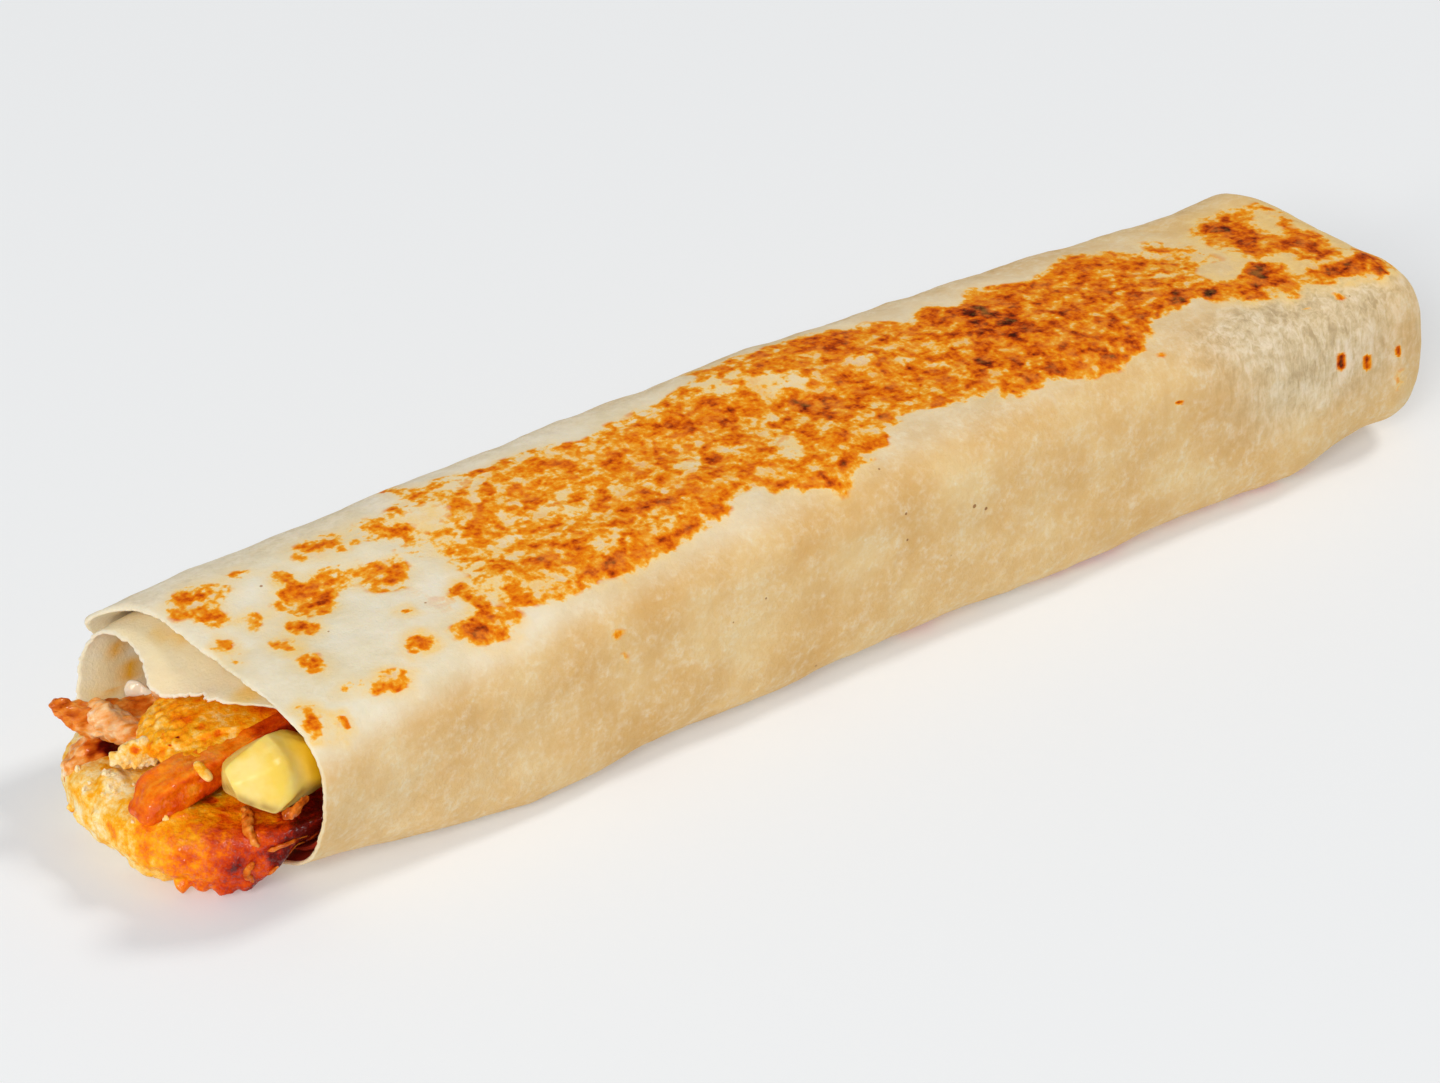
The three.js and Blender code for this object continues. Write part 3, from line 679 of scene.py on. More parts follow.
# Toast comes out in speckles: three sizes of noise push it up and down before it is given its colour
toasted = node(tree, "Math", {0: burnt, 1: 0.45, 2: toast}, operation="MULTIPLY_ADD")
for pattern, push in ((speckle, 0.62), (flecks, 0.4), (grains, 0.2)):
    pushed = node(tree, "MapRange", {0: pattern, 1: 0.25, 2: 0.75, 3: -push, 4: push})
    toasted = node(tree, "Math", {0: toasted, 1: pushed}, operation="ADD")
covered = node(tree, "Math", {0: node(tree, "MapRange", {0: toasted, 1: -0.1, 2: 0.3}),
                              1: node(tree, "MapRange", {0: toast, 1: 0.04, 2: 0.2})}, operation="MULTIPLY")
toast_colour = node(tree, "ValToRGB", {"Fac": node(tree, "MapRange", {0: toasted, 2: 2.0})}, [
    (0.0, "#f7dfa8"), (0.08, "#f7ce7a"), (0.17, "#f5b03c"), (0.28, "#ef9212"), (0.4, "#e87806"),
    (0.52, "#d45c02"), (0.65, "#ae3e02"), (0.8, "#681f02"), (1.0, "#301003")])
# Flour lies on the thickest toast and dulls it to a paler orange
dulled = node(tree, "Math", {0: node(tree, "MapRange", {0: veil, 1: 0.48, 2: 0.66, 4: 0.3}),
                             1: node(tree, "MapRange", {0: toast, 1: 0.4, 2: 0.62})}, operation="MULTIPLY")
toast_colour = node(tree, "Mix", {0: dulled, 6: toast_colour, 7: "#ec9e46"}, data_type="RGBA")

# Each layer lies over the ones before it, where its share says
colour = dry
for share, layer in [(oiled, oily), (dusted, "#f0e5ca"), (greyed, steamed), (speck, "#8e5420"),
                     (inner, unbaked_with_painted_light), (stain, "#fcba30"), (sauced, "#96240a"), (tan_share, ground),
                     (covered, toast_colour)]:
    colour = node(tree, "Mix", {0: share, 6: colour, 7: layer}, data_type="RGBA")

height = node(tree, "Math", {0: flour, 1: 0.4, 2: speckle}, operation="MULTIPLY_ADD")
height = node(tree, "Math", {0: grains, 1: 0.3, 2: height}, operation="MULTIPLY_ADD")
wrinkled = node(tree, "Math", {0: crinkle, 1: 0.7}, operation="MULTIPLY")
height = node(tree, "Math", {0: wrinkled, 1: greyed, 2: height}, operation="MULTIPLY_ADD")
bump = node(tree, "Bump", {"Height": height, "Strength": 0.45, "Distance": 0.0005})
# The single sheet of the inner turn lets the most light through, and toast the least
let_through = node(tree, "MapRange", {0: covered, 3: 0.4, 4: 0.05})
skin = node(tree, "BsdfPrincipled", {
    "Base Color": colour, "Normal": bump, "IOR": 1.45,
    "Roughness": node(tree, "MapRange", {0: covered, 3: 0.8, 4: 0.6}),
    "Specular IOR Level": node(tree, "MapRange", {0: covered, 3: 0.2, 4: 0.05}),
    "Subsurface Weight": node(tree, "MapRange", {0: inner, 3: let_through, 4: 0.6}),
    "Subsurface Scale": node(tree, "MapRange", {0: inner, 3: 0.002, 4: 0.004}),
    "Subsurface Radius": (1.0, 0.8, 0.55)})
node(tree, "OutputMaterial", {"Surface": skin})

# Crisp chicken, the lower piece: a flattened strip of breast in a flour and crumb batter, fried and then
# laid along the floor of the roll. Its crust is pale where it is floury and dark where it is sauced.


def carried(path, half, rows, columns, ends, power=2.0, deep=1000.0):
    """Rings of a lump carried along a smooth path, and each ring's share of the way. They are superellipses
    of the half sizes half(share), rounded off over a share of the path at both its ends. They lie evenly
    along the outline except that they thin out further in than the distance deep."""
    path = np.array(path, float)
    step = np.concatenate([[0], np.cumsum(np.linalg.norm(np.diff(path, axis=0), axis=1))])
    slopes = np.gradient(path, step, axis=0)
    fine = 0.5 - 0.5 * np.cos(np.pi * np.linspace(0, 1, 6001))
    end_power = 2.6
    smallest = 0.012

    def rounding(share):
        """How large a ring is near an end: a superellipse of the end power, but never quite closed"""
        to_end = np.clip(np.minimum(share, 1 - share) / ends, 0, 1)
        return np.maximum(smallest, (1 - (1 - to_end) ** end_power) ** (1 / end_power))

    wide = half(fine)[0] * rounding(fine)
    density = 1 / (1 + (fine * step[-1] / deep) ** 2)
    spans = np.hypot(np.diff(wide), np.diff(fine) * step[-1]) * density[1:]
    spans = np.concatenate([[0], np.cumsum(spans)])
    share = np.interp(np.linspace(0.002, 0.998, rows), spans / spans[-1], fine)

    place = share * step[-1]
    part = np.clip(np.searchsorted(step, place, side="right") - 1, 0, len(path) - 2)
    span = (step[part + 1] - step[part])[:, None]
    t = (place - step[part])[:, None] / span
    middle = ((1 + 2 * t) * (1 - t) ** 2 * path[part] + t * t * (3 - 2 * t) * path[part + 1]
              + span * t * (1 - t) * ((1 - t) * slopes[part] - t * slopes[part + 1]))
    forward = np.gradient(middle, place, axis=0)
    forward = forward / np.linalg.norm(forward, axis=1, keepdims=True)
    side = np.cross(forward, [0, 0, 1])
    side = side / np.linalg.norm(side, axis=1, keepdims=True)
    rise = np.cross(side, forward)
    width, height = half(share)
    angles = even_angles(width.mean(), height.mean(), power, columns)
    a = (width * rounding(share))[:, None]
    b = (height * rounding(share))[:, None]
    radius = rounded_box(a, b, angles[None], power)[..., None]
    return (middle[:, None] + side[:, None] * radius * np.cos(angles)[:, None]
            + rise[:, None] * radius * np.sin(angles)[:, None]), share[:, None]


opening_outside = 8.0


def keep_inside(points, gap, sharpness=30):
    """Inside the mouth no filling reaches further out than the inner turn of the bread, less a gap: each
    distance from the roll's middle is joined with its limit as (distance^-s + limit^-s)^(-1/s)"""
    along = points[..., 0]
    middle = through_three(heights, np.clip(along / sheet_length, 0, 1)) / 2 - settle
    angle = np.arctan2(points[..., 2] - middle, -points[..., 1]) % (2 * np.pi)
    wall = roll_point(along, angle, inner_depth(along, angle) + gap)
    limit = np.hypot(wall[..., 1], wall[..., 2] - middle)
    # In front of both turns' edges there is no bread to hold it in, so the limit opens
    past_edges = along - np.minimum(inner_edge(angle), outer_edge(angle))
    limit = limit + opening_outside * (1 - smooth(-11, -0.5, past_edges))
    radius = np.hypot(points[..., 1], points[..., 2] - middle)
    shrink = (1 + (radius / limit) ** sharpness) ** (-1 / sharpness)
    inside = points.copy()
    inside[..., 1] = points[..., 1] * shrink
    inside[..., 2] = np.maximum(middle + (points[..., 2] - middle) * shrink, 0.3)
    return inside


def lumps(points, size, seed):
    """Rounded lumps with sharp valleys, about one size across, from 0 to 1"""
    return np.sqrt(np.maximum(0, 1 - (1 - crag_height(points, size, seed)) ** 2))


def crisp(points, size, seed):
    """Fried batter: lumps at three sizes pushed about by noise, and thin ridges where noise is near 0"""
    pushed = points + 0.35 * size * np.stack([noise(points, size, seed + step) for step in range(3)], -1)
    height = lumps(pushed, size, seed) + 0.5 * lumps(pushed, size * 0.42, seed + 1)
    height = height + 0.25 * lumps(pushed, size * 0.2, seed + 2)
    ridge = 1 - np.minimum(1, np.abs(noise(points, size * 0.8, seed + 5)) / 0.25)
    return height - 1.2 + 0.35 * ridge


def lower_half(share):
    """Half width and half height of the lower piece, which narrows deeper in"""
    return mix(27.5, 20.0, share), 5.4 + 0 * share


filling_end = sheet_length - 12
bread_clearance = 0.35
lower_path = [(-20.2, -1, 6.6), (4, -0.5, 7.2), (60, 0, 8.8), (filling_end, 0, 8.8)]
lower, lower_share = carried(lower_path, lower_half, rows=236, columns=396, ends=0.022, power=3.8, deep=22)
# Its face at the mouth curves back on both sides, and its front corner lifts with the roll's own
at_mouth = 1 - smooth(0, 0.3, lower_share)
across, height_up = lower[..., 1], lower[..., 2]
bow = np.where(across < 2, 17 * ((2 - across) / 27) ** 3, 14 * ((across - 2) / 26) ** 3)
lift = 4 * (np.maximum(0, -14 - across) / 14) ** 2
undercut = 0.4 * np.maximum(0, 5.5 - height_up)
lower = lower + np.stack([(bow + undercut) * at_mouth, 0 * bow, lift * at_mouth], -1)
# Nibs of batter that stand out along its lower edge and corners, and one notch: place, radius and height
nibs = [
    (-18.8, 12.2, 5.2, 1, 0.7), (-15, -12.4, 3.2, 1.4, 1.5), (-13.6, -9.8, 1.8, 1.4, -1.4),
    (-18, -5.5, 2, 3, 0.8), (-10.5, -17, 2.2, 2, 0.7), (-8, -19.6, 3.6, 1.6, 0.8),
    (-13, -14.6, 2.6, 1.4, 0.8), (-20.4, 3.4, 8.6, 1.1, 0.6), (-19.6, 6.5, 10.2, 1.4, 0.8),
    (-15.5, 5.6, 12.2, 2.4, 1), (-3, -23.4, 8, 2.2, 0.8), (-12.8, -8.8, 12, 2.2, 0.5),
    (-19.4, 8.6, 6, 1.2, 0.8),
]
to_front, height_up = -lower[..., 1], lower[..., 2]
crust = 0.26 * crisp(lower, 2.6, 60) + 0.2 * crisp(lower, 1.2, 63)
crust = crust * mix(0.45, 1.0, smooth(0, 12, to_front))
crust = crust + 0.45 * noise(lower, 7, 66) + 0.2 * noise(lower, 2.6, 65)
crust = crust + spots(lower + 0.5 * noise(lower, 1.5, 64)[..., None], nibs)
low_front_edge = (1 - smooth(1.5, 4.5, height_up)) * smooth(6, 12, to_front)
crust = crust + (0.6 * noise(lower, 3.4, 61) + 0.12 * noise(lower, 1.2, 58)) * low_front_edge
# Where the crust turns away from the way that its face at the mouth looks, it breaks off in flakes
face_looks = np.array([-0.68, -0.5, 0.53])
lower_normals = grid_normals(lower)
turned_away = 1 - (lower_normals @ face_looks) ** 2
flaked = 0.6 * noise(lower, 2.9, 62) + 0.25 * np.abs(noise(lower, 1.3, 59))
crust = crust + flaked * turned_away ** 2 * (1 - smooth(-10, 0, lower[..., 0]))
lower = keep_inside(lower + lower_normals * crust[..., None], bread_clearance)

# It is floury at the back and browner and wetter to the front, where the sauce gathered
inward, to_front, height_up = lower[..., 0], -lower[..., 1], lower[..., 2]
lower_heat = np.interp(to_front, [-12, -5, -2, 5, 10, 14, 18, 22, 25],
                       [0.13, 0.16, 0.19, 0.25, 0.35, 0.47, 0.6, 0.76, 0.92])
lower_heat = lower_heat + 0.14 * (1 - smooth(1, 5, height_up)) * smooth(12, 20, to_front)
lower_heat = lower_heat - 0.1 * (1 - smooth(2, 6, height_up)) * smooth(-15, -9, -to_front)
lower_heat = lower_heat + 0.3 * smooth(-5, 3, inward) * smooth(8, 18, to_front)
# Browner and paler spots on it: place, radius and how much browner
lower_marks = [
    (-4.4, -23.3, 9.1, 2.6, 0.2), (-2, -24, 6, 3, 0.28), (-8, -21.5, 2.5, 2.2, 0.2),
    (-19.2, 10, 4.8, 1.5, 0.6), (-20.8, 2.6, 8.8, 1, -0.2), (-19.3, -8.3, 9.5, 2.6, 0.14),
    (-20.7, -1.1, 8.5, 1.5, 0.18), (-19.6, 8.6, 7, 1.6, -0.14), (-20.4, -3.5, 3.9, 2.2, -0.1),
    (-16.1, 3.4, 12.3, 2.6, -0.14), (-14.4, 8.2, 12.5, 1.4, 0.2), (-8.4, -14, 12.4, 1.5, 0.24),
    (-7, -11.6, 12.4, 1, 0.2), (-6.6, -21.3, 11.8, 1.6, -0.12), (-12, -18.4, 8.5, 2, 0.14),
    (-9.5, -19.9, 6.5, 2.4, 0.16), (-9.4, -17.4, 11.6, 1.4, -0.12), (-2.9, -18.7, 12.7, 2, -0.14),
    (-7, -8.7, 12.7, 1.6, 0.4), (-4, -22.6, 6.5, 2, 0.12), (-12, -19, 3, 2.4, 0.14),
]
lower_heat = lower_heat + spots(lower + 0.7 * noise(lower, 2, 67)[..., None], lower_marks)
lower_heat = lower_heat + 0.1 * noise(lower, 4, 68) + 0.07 * noise(lower, 1.6, 69)
lower_wet = mix(0.15, 1.0, smooth(-2, 14, to_front))
lower_chicken = closed_piece("lower_chicken", lower, browned=np.clip(lower_heat, 0, 1), wet=lower_wet)
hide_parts("crispy_chicken_lower")


def fried_batter(name, piece):
    """Seasoned fried batter: cream where it is floury, then yellow and orange from the oil and chilli, and
    deep red where it is sauced; drops of oil give it small sharp highlights"""
    tree, place = new_material(name, piece)
    browned = node(tree, "Attribute", attribute_name="browned")
    wet = node(tree, "Attribute", attribute_name="wet")
    broad = node(tree, "TexNoise",
                 {"Vector": place, "Scale": per_mm / 2.6, "Detail": 4.0, "Roughness": 0.65})
    fine = node(tree, "TexNoise", {"Vector": place, "Scale": per_mm / 0.7, "Detail": 3.0, "Roughness": 0.7})
    shift = node(tree, "Math", {0: node(tree, "MapRange", {0: broad, 1: 0.3, 2: 0.7, 3: -0.17, 4: 0.17}),
                                1: node(tree, "MapRange", {0: fine, 1: 0.3, 2: 0.7, 3: -0.08, 4: 0.08})},
                 operation="ADD")
    shifted = node(tree, "Math", {0: browned, 1: shift}, operation="ADD")
    colour = node(tree, "ValToRGB", {"Fac": shifted}, [
        (0.0, "#ffeabc"), (0.13, "#ffd47a"), (0.26, "#ffb41c"), (0.38, "#fc9800"), (0.5, "#f47a00"),
        (0.62, "#e25600"), (0.76, "#c83600"), (0.9, "#981a00"), (1.0, "#5e0a00")])
    height = node(tree, "Math", {0: broad, 1: 0.6, 2: fine}, operation="MULTIPLY_ADD")
    bump = node(tree, "Bump", {"Height": height, "Strength": 0.5, "Distance": 0.0005})
    drops = node(tree, "Math", {0: node(tree, "MapRange", {0: fine, 1: 0.5, 2: 0.56}), 1: wet},
                 operation="MULTIPLY")
    beads = node(tree, "Bump", {"Height": broad, "Strength": 0.7, "Distance": 0.001})
    skin = node(tree, "BsdfPrincipled", {
        "Base Color": colour, "Roughness": 0.5, "Normal": bump, "IOR": 1.47, "Specular IOR Level": 0.12,
        "Subsurface Weight": 0.25, "Subsurface Scale": 0.0008, "Subsurface Radius": (1.0, 0.7, 0.4),
        "Coat Weight": drops, "Coat Roughness": 0.07, "Coat IOR": 1.47, "Coat Normal": beads})
    node(tree, "OutputMaterial", {"Surface": skin})


fried_batter("crisp_chicken_batter", lower_chicken)

# Crisp chicken, the upper piece: a golden slab of the same fried chicken, seen under the bread's tongue.
# Its skin is smoother and stands in two layers, one ledge over the other.

# Where the upper layer ends, seen from above: in from the mouth and to the back
ledge_line = [(-12, 2.6), (-11, 1.1), (-8.7, -2.6), (-4.6, -4.5), (-1.5, -6.1), (1, -7.6), (12, -8)]
blister = (-9.1, 0.5, 19.8)
blister_radius = 0.55


def upper_half(share):
    """Half width and half height of the slab, which was torn off narrow and thin at the mouth"""
    wide = smooth(0.06, 0.24, share)
    return mix(9.5, 21.5 - 2.5 * share, wide), mix(2.9, 7.2, wide) + 1.2 * np.sin(np.pi * share)


upper_path = [(-9, 1.8, 18.4), (6, 0, 20), (40, 0, 22.5), (120, 0, 24), (filling_end, 0, 22.5)]
upper, upper_share = carried(upper_path, upper_half, rows=210, columns=340, ends=0.03, power=3.2, deep=18)
upper[..., 0] += 0.9 * (upper[..., 2] - 20) * (1 - smooth(0.02, 0.12, upper_share))
over_ledge = upper[..., 1] - np.interp(upper[..., 0], *np.transpose(ledge_line))
over_ledge = over_ledge + 0.5 * noise(upper, 2.5, 74)
crust = 0.03 * crisp(upper, 2.2, 70) + 0.3 * noise(upper, 6, 76) + 0.12 * noise(upper, 2.2, 73)
crust = crust - 0.7 * (1 - smooth(-0.25, 0.25, over_ledge)) * smooth(-14, -9, upper[..., 0])
crust = crust + 0.4 * noise(upper, 1.2, 75) * (1 - smooth(0.004, 0.03, upper_share))
blister_ring = np.abs(np.linalg.norm(upper - np.array(blister), axis=-1) - blister_radius)
crust = crust + 0.18 * bell(blister_ring, 0.18)
upper = keep_inside(upper + grid_normals(upper) * crust[..., None], bread_clearance)
# Browner and paler spots on it: place, radius and how much browner
upper_marks = [
    (-8.1, -1.7, 20.4, 0.4, 0.8), (-10, 0.2, 19, 0.35, 0.7), (-9.5, -1.6, 19.5, 0.35, 0.7),
    (-5, 1, 21.6, 2.4, 0.16), (-4.4, -2.6, 21.4, 1, 0.28), (-9.4, 6.4, 18.6, 1.6, -0.1),
    (-10.4, 3.4, 18, 1.4, -0.1), (-0.5, -3.6, 22, 2.4, -0.06), (*blister, 0.8, 0.16),
    (-3, -5.2, 21, 0.8, 0.25),
]
# The lower layer is a little browner than the upper one, and so is all of it further in
upper_heat = mix(0.33, 0.29, smooth(-0.6, 0.6, over_ledge))
upper_heat = upper_heat + 0.12 * noise(upper, 3, 77) + 0.05 * noise(upper, 1.1, 78)
upper_heat = upper_heat + spots(upper + 0.15 * noise(upper, 1, 79)[..., None], upper_marks)
pale_edge = (1 - smooth(0.004, 0.014, upper_share)) * smooth(1, 4, upper[..., 1])
upper_heat = upper_heat - 0.03 * pale_edge + 0.35 * smooth(2, 8, upper[..., 0])
upper_chicken = closed_piece("upper_chicken", upper, browned=np.clip(upper_heat, 0, 1), wet=0.35)
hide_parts("crispy_chicken_upper")
fried_batter("golden_chicken_batter", upper_chicken)

# Batter flake: a torn crumb of the slab's fried batter, white inside where the oil didn't reach. It stands
# in front of the slab and leans on it.

flake, _ = carried([(-14.8, 6.8, 14.8), (-9.4, 2.6, 16.6)],
                   lambda share: (0.9 + 0 * share, mix(1.2, 3.0, share)), rows=120, columns=110, ends=0.4)
flake_normals = grid_normals(flake)
# It is ragged round its rim, as seen from the mouth, and nearly smooth on its face
flake_looks = np.array([-0.7, -0.6, 0.4])
at_rim = 1 - (flake_normals @ flake_looks) ** 2
tear = 0.16 * crisp(flake, 1.4, 80) + (0.9 * noise(flake, 1.5, 84) + 0.5 * noise(flake, 0.7, 86)) * at_rim
flake = flake + flake_normals * tear[..., None]
flake_marks = [(-12.1, 4, 17.1, 1, 0.5), (-12.6, 3.2, 16.6, 0.6, 0.3), (-10.4, 2.4, 17, 1.6, 0.2),
               (-13.2, 3, 14.2, 1.4, 0.2)]
flake_heat = 0.08 + 0.1 * noise(flake, 1.5, 85) + spots(flake, flake_marks)
crumb_flake = closed_piece("crumb_flake", flake, browned=np.clip(flake_heat, 0, 1), wet=0.2)
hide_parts("batter_flake")
fried_batter("pale_batter_crumb", crumb_flake)

# Fry: a stick of potato cut square, fried and then soaked orange by the sauce, with its grain along it. It
# slants up from the mouth into the roll, between the two pieces of chicken.

fry, fry_share = carried([(-19.2, -5.2, 13.7), (7, -7.8, 19.8), (46, -4, 22.5)],
                         lambda share: (mix(3.4, 2.5, share), mix(2.8, 2.3, share)),
                         rows=190, columns=110, ends=0.045, power=9, deep=40)
# Its end was cut on the slant
fry[..., 0] += 0.7 * np.maximum(0, fry[..., 2] - 12.5) * (1 - smooth(0, 0.12, fry_share))
grain = fry * [0.25, 1, 1]
skin_relief = 0.35 * noise(fry, 3.4, 90) + 0.16 * noise(grain, 1.2, 91) + 0.1 * noise(fry, 0.8, 92)
fry = fry + grid_normals(fry) * skin_relief[..., None]
# Its top face is painted lighter, as painted light from above
fry_up = grid_normals(fry)[..., 2]
fry_tone_and_painted_light = 0.5 + 0.08 * noise(grain, 1.2, 93) + 0.1 * noise(fry, 3.5, 94) - 0.13 * smooth(0.4, 0.95, fry_up)
# Low on it towards its end it is painted darker red, as painted shade
low_on_fry = 15.2 + 0.2 * (fry[..., 0] + 12) - fry[..., 2]
fry_tone_and_painted_light = fry_tone_and_painted_light + 0.4 * smooth(0.4, 2.6, low_on_fry) * smooth(-13, -8, fry[..., 0])
# Further in, where it runs under the potato chunk, it is painted darker, as painted shade
fry_tone_and_painted_light = fry_tone_and_painted_light + 0.3 * smooth(-2, 4, fry[..., 0])
# The first spot, lighter on its front face, is a painted sheen; the other two are browner
fry_tone_and_painted_light = fry_tone_and_painted_light + spots(fry, [(-10.5, -10.6, 15.6, 1.8, -0.3), (-13.5, -9.5, 14.2, 1.4, 0.12),
                                  (-15.0, -4.0, 16.6, 2.4, 0.08)])
# Its browned mark carries this painted light and shade along with the fry's own colour
fry_piece = closed_piece("potato_fry", fry, browned=np.clip(fry_tone_and_painted_light, 0, 1))
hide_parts("fry_stick")

# Fried potato soaked in paprika oil: clear orange, painted paler on its top as painted light and darker red
# low down and further in as painted shade, and shiny in spots
tree, place = new_material("sauced_potato_fry", fry_piece)
fine = node(tree, "TexNoise", {"Vector": place, "Scale": per_mm / 0.9, "Detail": 4.0, "Roughness": 0.65})
broad = node(tree, "TexNoise", {"Vector": place, "Scale": per_mm / 2.2, "Detail": 4.0, "Roughness": 0.65})
# On the fry, browned also holds the painted light and shade worked out above
browned = node(tree, "Attribute", attribute_name="browned")
shift = node(tree, "MapRange", {0: fine, 1: 0.3, 2: 0.7, 3: -0.08, 4: 0.08})
shifted = node(tree, "Math", {0: browned, 1: shift}, operation="ADD")
colour = node(tree, "ValToRGB", {"Fac": shifted}, [
    (0.0, "#fecb5c"), (0.2, "#fda62a"), (0.4, "#f47800"), (0.56, "#de5200"), (0.72, "#b83200"),
    (0.86, "#861600"), (1.0, "#560a00")])
bump = node(tree, "Bump", {"Height": fine, "Strength": 0.5, "Distance": 0.0005})
skin = node(tree, "BsdfPrincipled", {
    "Base Color": colour, "Roughness": 0.45, "Normal": bump, "IOR": 1.47, "Specular IOR Level": 0.12,
    "Subsurface Weight": 0.25, "Subsurface Scale": 0.001, "Subsurface Radius": (1.0, 0.6, 0.3),
    "Coat Weight": node(tree, "MapRange", {0: broad, 1: 0.47, 2: 0.57}), "Coat Roughness": 0.08,
    "Coat IOR": 1.47})
node(tree, "OutputMaterial", {"Surface": skin})

# Potato chunk: boiled yellow potato, cut to a rough cube with a knife before it was boiled, so its faces
# are flat and its corners soft. It rests on the lower chicken against the front of the roll.

chunk_middle = np.array([-4.0, -22.8, 23.0])
# Directions as the chunk is seen from the front left: to the right, up and towards the eye
view_right = np.array([0.792, -0.611, 0.0])
view_up = np.array([0.309, 0.401, 0.862])
view_toward = np.cross(view_right, view_up)
# Cut faces: how far each faces right, up and to the front as the chunk is seen, and its distance in mm
cut_faces = [
    (-1, 0, 0.1, 8.2), (-0.61, 0.79, 0.1, 5.8), (-0.36, 0.93, 0, 5.9), (0.37, 0.93, 0, 6.4),
    (0.975, 0.22, 0.1, 7.4), (0.53, -0.85, 0, 5.2), (-0.32, -0.95, 0, 5.7), (-0.89, -0.46, 0.2, 7.4),
    (-0.15, 0.45, 0.88, 4.6), (0.1, -0.2, 0.97, 4.4), (0, 0, -1, 9),
]
pole_gap = 0.01
turns = np.linspace(pole_gap, np.pi - pole_gap, 130)[:, None]
rounds = np.linspace(0, 2 * np.pi, 150, endpoint=False)[None]
outward = np.stack(np.broadcast_arrays(-np.cos(turns), np.sin(turns) * np.cos(rounds),
                                       np.sin(turns) * np.sin(rounds)), -1)
# The distance to the skin is the smallest of those to the cut faces, with the corners softened:
# the sum of (1 / distance)^s for the faces, to the power -1/s
corner_sharpness = 26
nearness = np.zeros(outward.shape[:-1])
for right, up, front, distance in cut_faces:
    square = right * view_right + up * view_up + front * view_toward
    square = square / np.linalg.norm(square)
    nearness = nearness + np.maximum(0, outward @ square / distance) ** corner_sharpness
chunk = chunk_middle + outward * (nearness ** (-1 / corner_sharpness))[..., None]
chunk_relief = 0.14 * noise(chunk, 4, 100) + 0.05 * noise(chunk, 1.2, 101)
chunk = chunk + grid_normals(chunk) * chunk_relief[..., None]
chunk = keep_inside(chunk, bread_clearance, sharpness=12)
# Its lower rim, where it sits on the chicken, and a spot at its lower right corner are painted brown as
# shade, and it is more golden to the right
seen_right = (chunk - chunk_middle) @ view_right
seen_up = (chunk - chunk_middle) @ view_up
low_edge = np.interp(seen_right, [-7.5, -5.0, 0.6, 2.8, 6.2], [-2.2, -4.0, -5.8, -4.6, -2.6])
rim = 0.95 * bell(seen_up - low_edge, 0.9) * (1 - 0.6 * smooth(-1, 1.5, seen_right))
rim = rim * (0.7 + 0.5 * noise(chunk, 1.4, 103))
rim = rim + 0.9 * bell(np.hypot(seen_right - 6.0, seen_up + 3.2), 1.1)
golden = smooth(1.5, 6.0, seen_right + 0.35 * seen_up) + spots(chunk, [
    (-8.2, -20.2, 26.2, 1.5, 0.6), (-6.0, -21.0, 27.4, 1.6, 0.4)])
chunk_piece = closed_piece("boiled_potato_chunk", chunk, rim=np.clip(rim, 0, 1),
                           golden=np.clip(golden, 0, 1))
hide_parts("potato_chunk")

# Boiled yellow potato: waxy and slightly see-through, so its colour is soft and even, with a wet shine
tree, place = new_material("boiled_yellow_potato", chunk_piece)
cloud = node(tree, "TexNoise", {"Vector": place, "Scale": per_mm / 5, "Detail": 3.0})
colour = node(tree, "ValToRGB", {"Fac": cloud}, [(0.35, "#fae08a"), (0.6, "#f8d45c")])
# The rim's brown is painted shade
for mark, tint in (("golden", "#ffc61c"), ("rim", "#a07c3c")):
    share = node(tree, "Attribute", attribute_name=mark)
    colour = node(tree, "Mix", {0: share, 6: colour, 7: tint}, data_type="RGBA")
fine = node(tree, "TexNoise", {"Vector": place, "Scale": per_mm / 1.4, "Detail": 2.0})
bump = node(tree, "Bump", {"Height": fine, "Strength": 0.15, "Distance": 0.0005})
skin = node(tree, "BsdfPrincipled", {
    "Base Color": colour, "Roughness": 0.4, "Normal": bump, "IOR": 1.45, "Specular IOR Level": 0.3,
    "Subsurface Weight": 0.5, "Subsurface Scale": 0.003, "Subsurface Radius": (1.0, 0.75, 0.25),
    "Coat Weight": 0.15, "Coat Roughness": 0.2})
node(tree, "OutputMaterial", {"Surface": skin})

# Meat strips: torn shreds of cooked chicken thigh, pushed in loose at the back of the mouth. The outer one
# is browned and stands out furthest, the lower one is pink with a sauced edge, a pale one lies above it,
# and a thin slice lies against the bread's back wall.


def even(*sizes):
    """Half sizes for carried that stay the same all along"""
    return lambda share: [size + 0 * share for size in sizes]


def meat_strip(name, cad_node, material, path, half, power, ends, seed, rough, base, raised=(), marks=()):
    """A shred of meat: a lump with the fibres' ridges along it, torn and pitted by noise and with raised
    spots, browned from a base level by marks; a mark can also paint a highlight"""
    strip, _ = carried(path, half, rows=130, columns=110, ends=ends, power=power)
    fibres = strip * [0.3, 1, 0.8]
    relief = 0.5 * noise(strip, 3.2, seed) + 0.5 * noise(fibres, 1, seed + 1)
    relief = rough * (relief + 0.25 * noise(fibres, 0.5, seed + 2)) + spots(strip, raised)
    strip = strip + grid_normals(strip) * relief[..., None]
    strip = keep_inside(strip, bread_clearance)
    heat = base + 0.16 * noise(strip, 2.4, seed + 3) + 0.18 * noise(fibres, 0.9, seed + 4)
    heat = heat + spots(strip + 0.3 * noise(strip, 1.2, seed + 5)[..., None], marks)
    piece = closed_piece(name, strip, browned=np.clip(heat, 0, 1))
    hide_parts(cad_node)
    cooked_meat(material, piece)


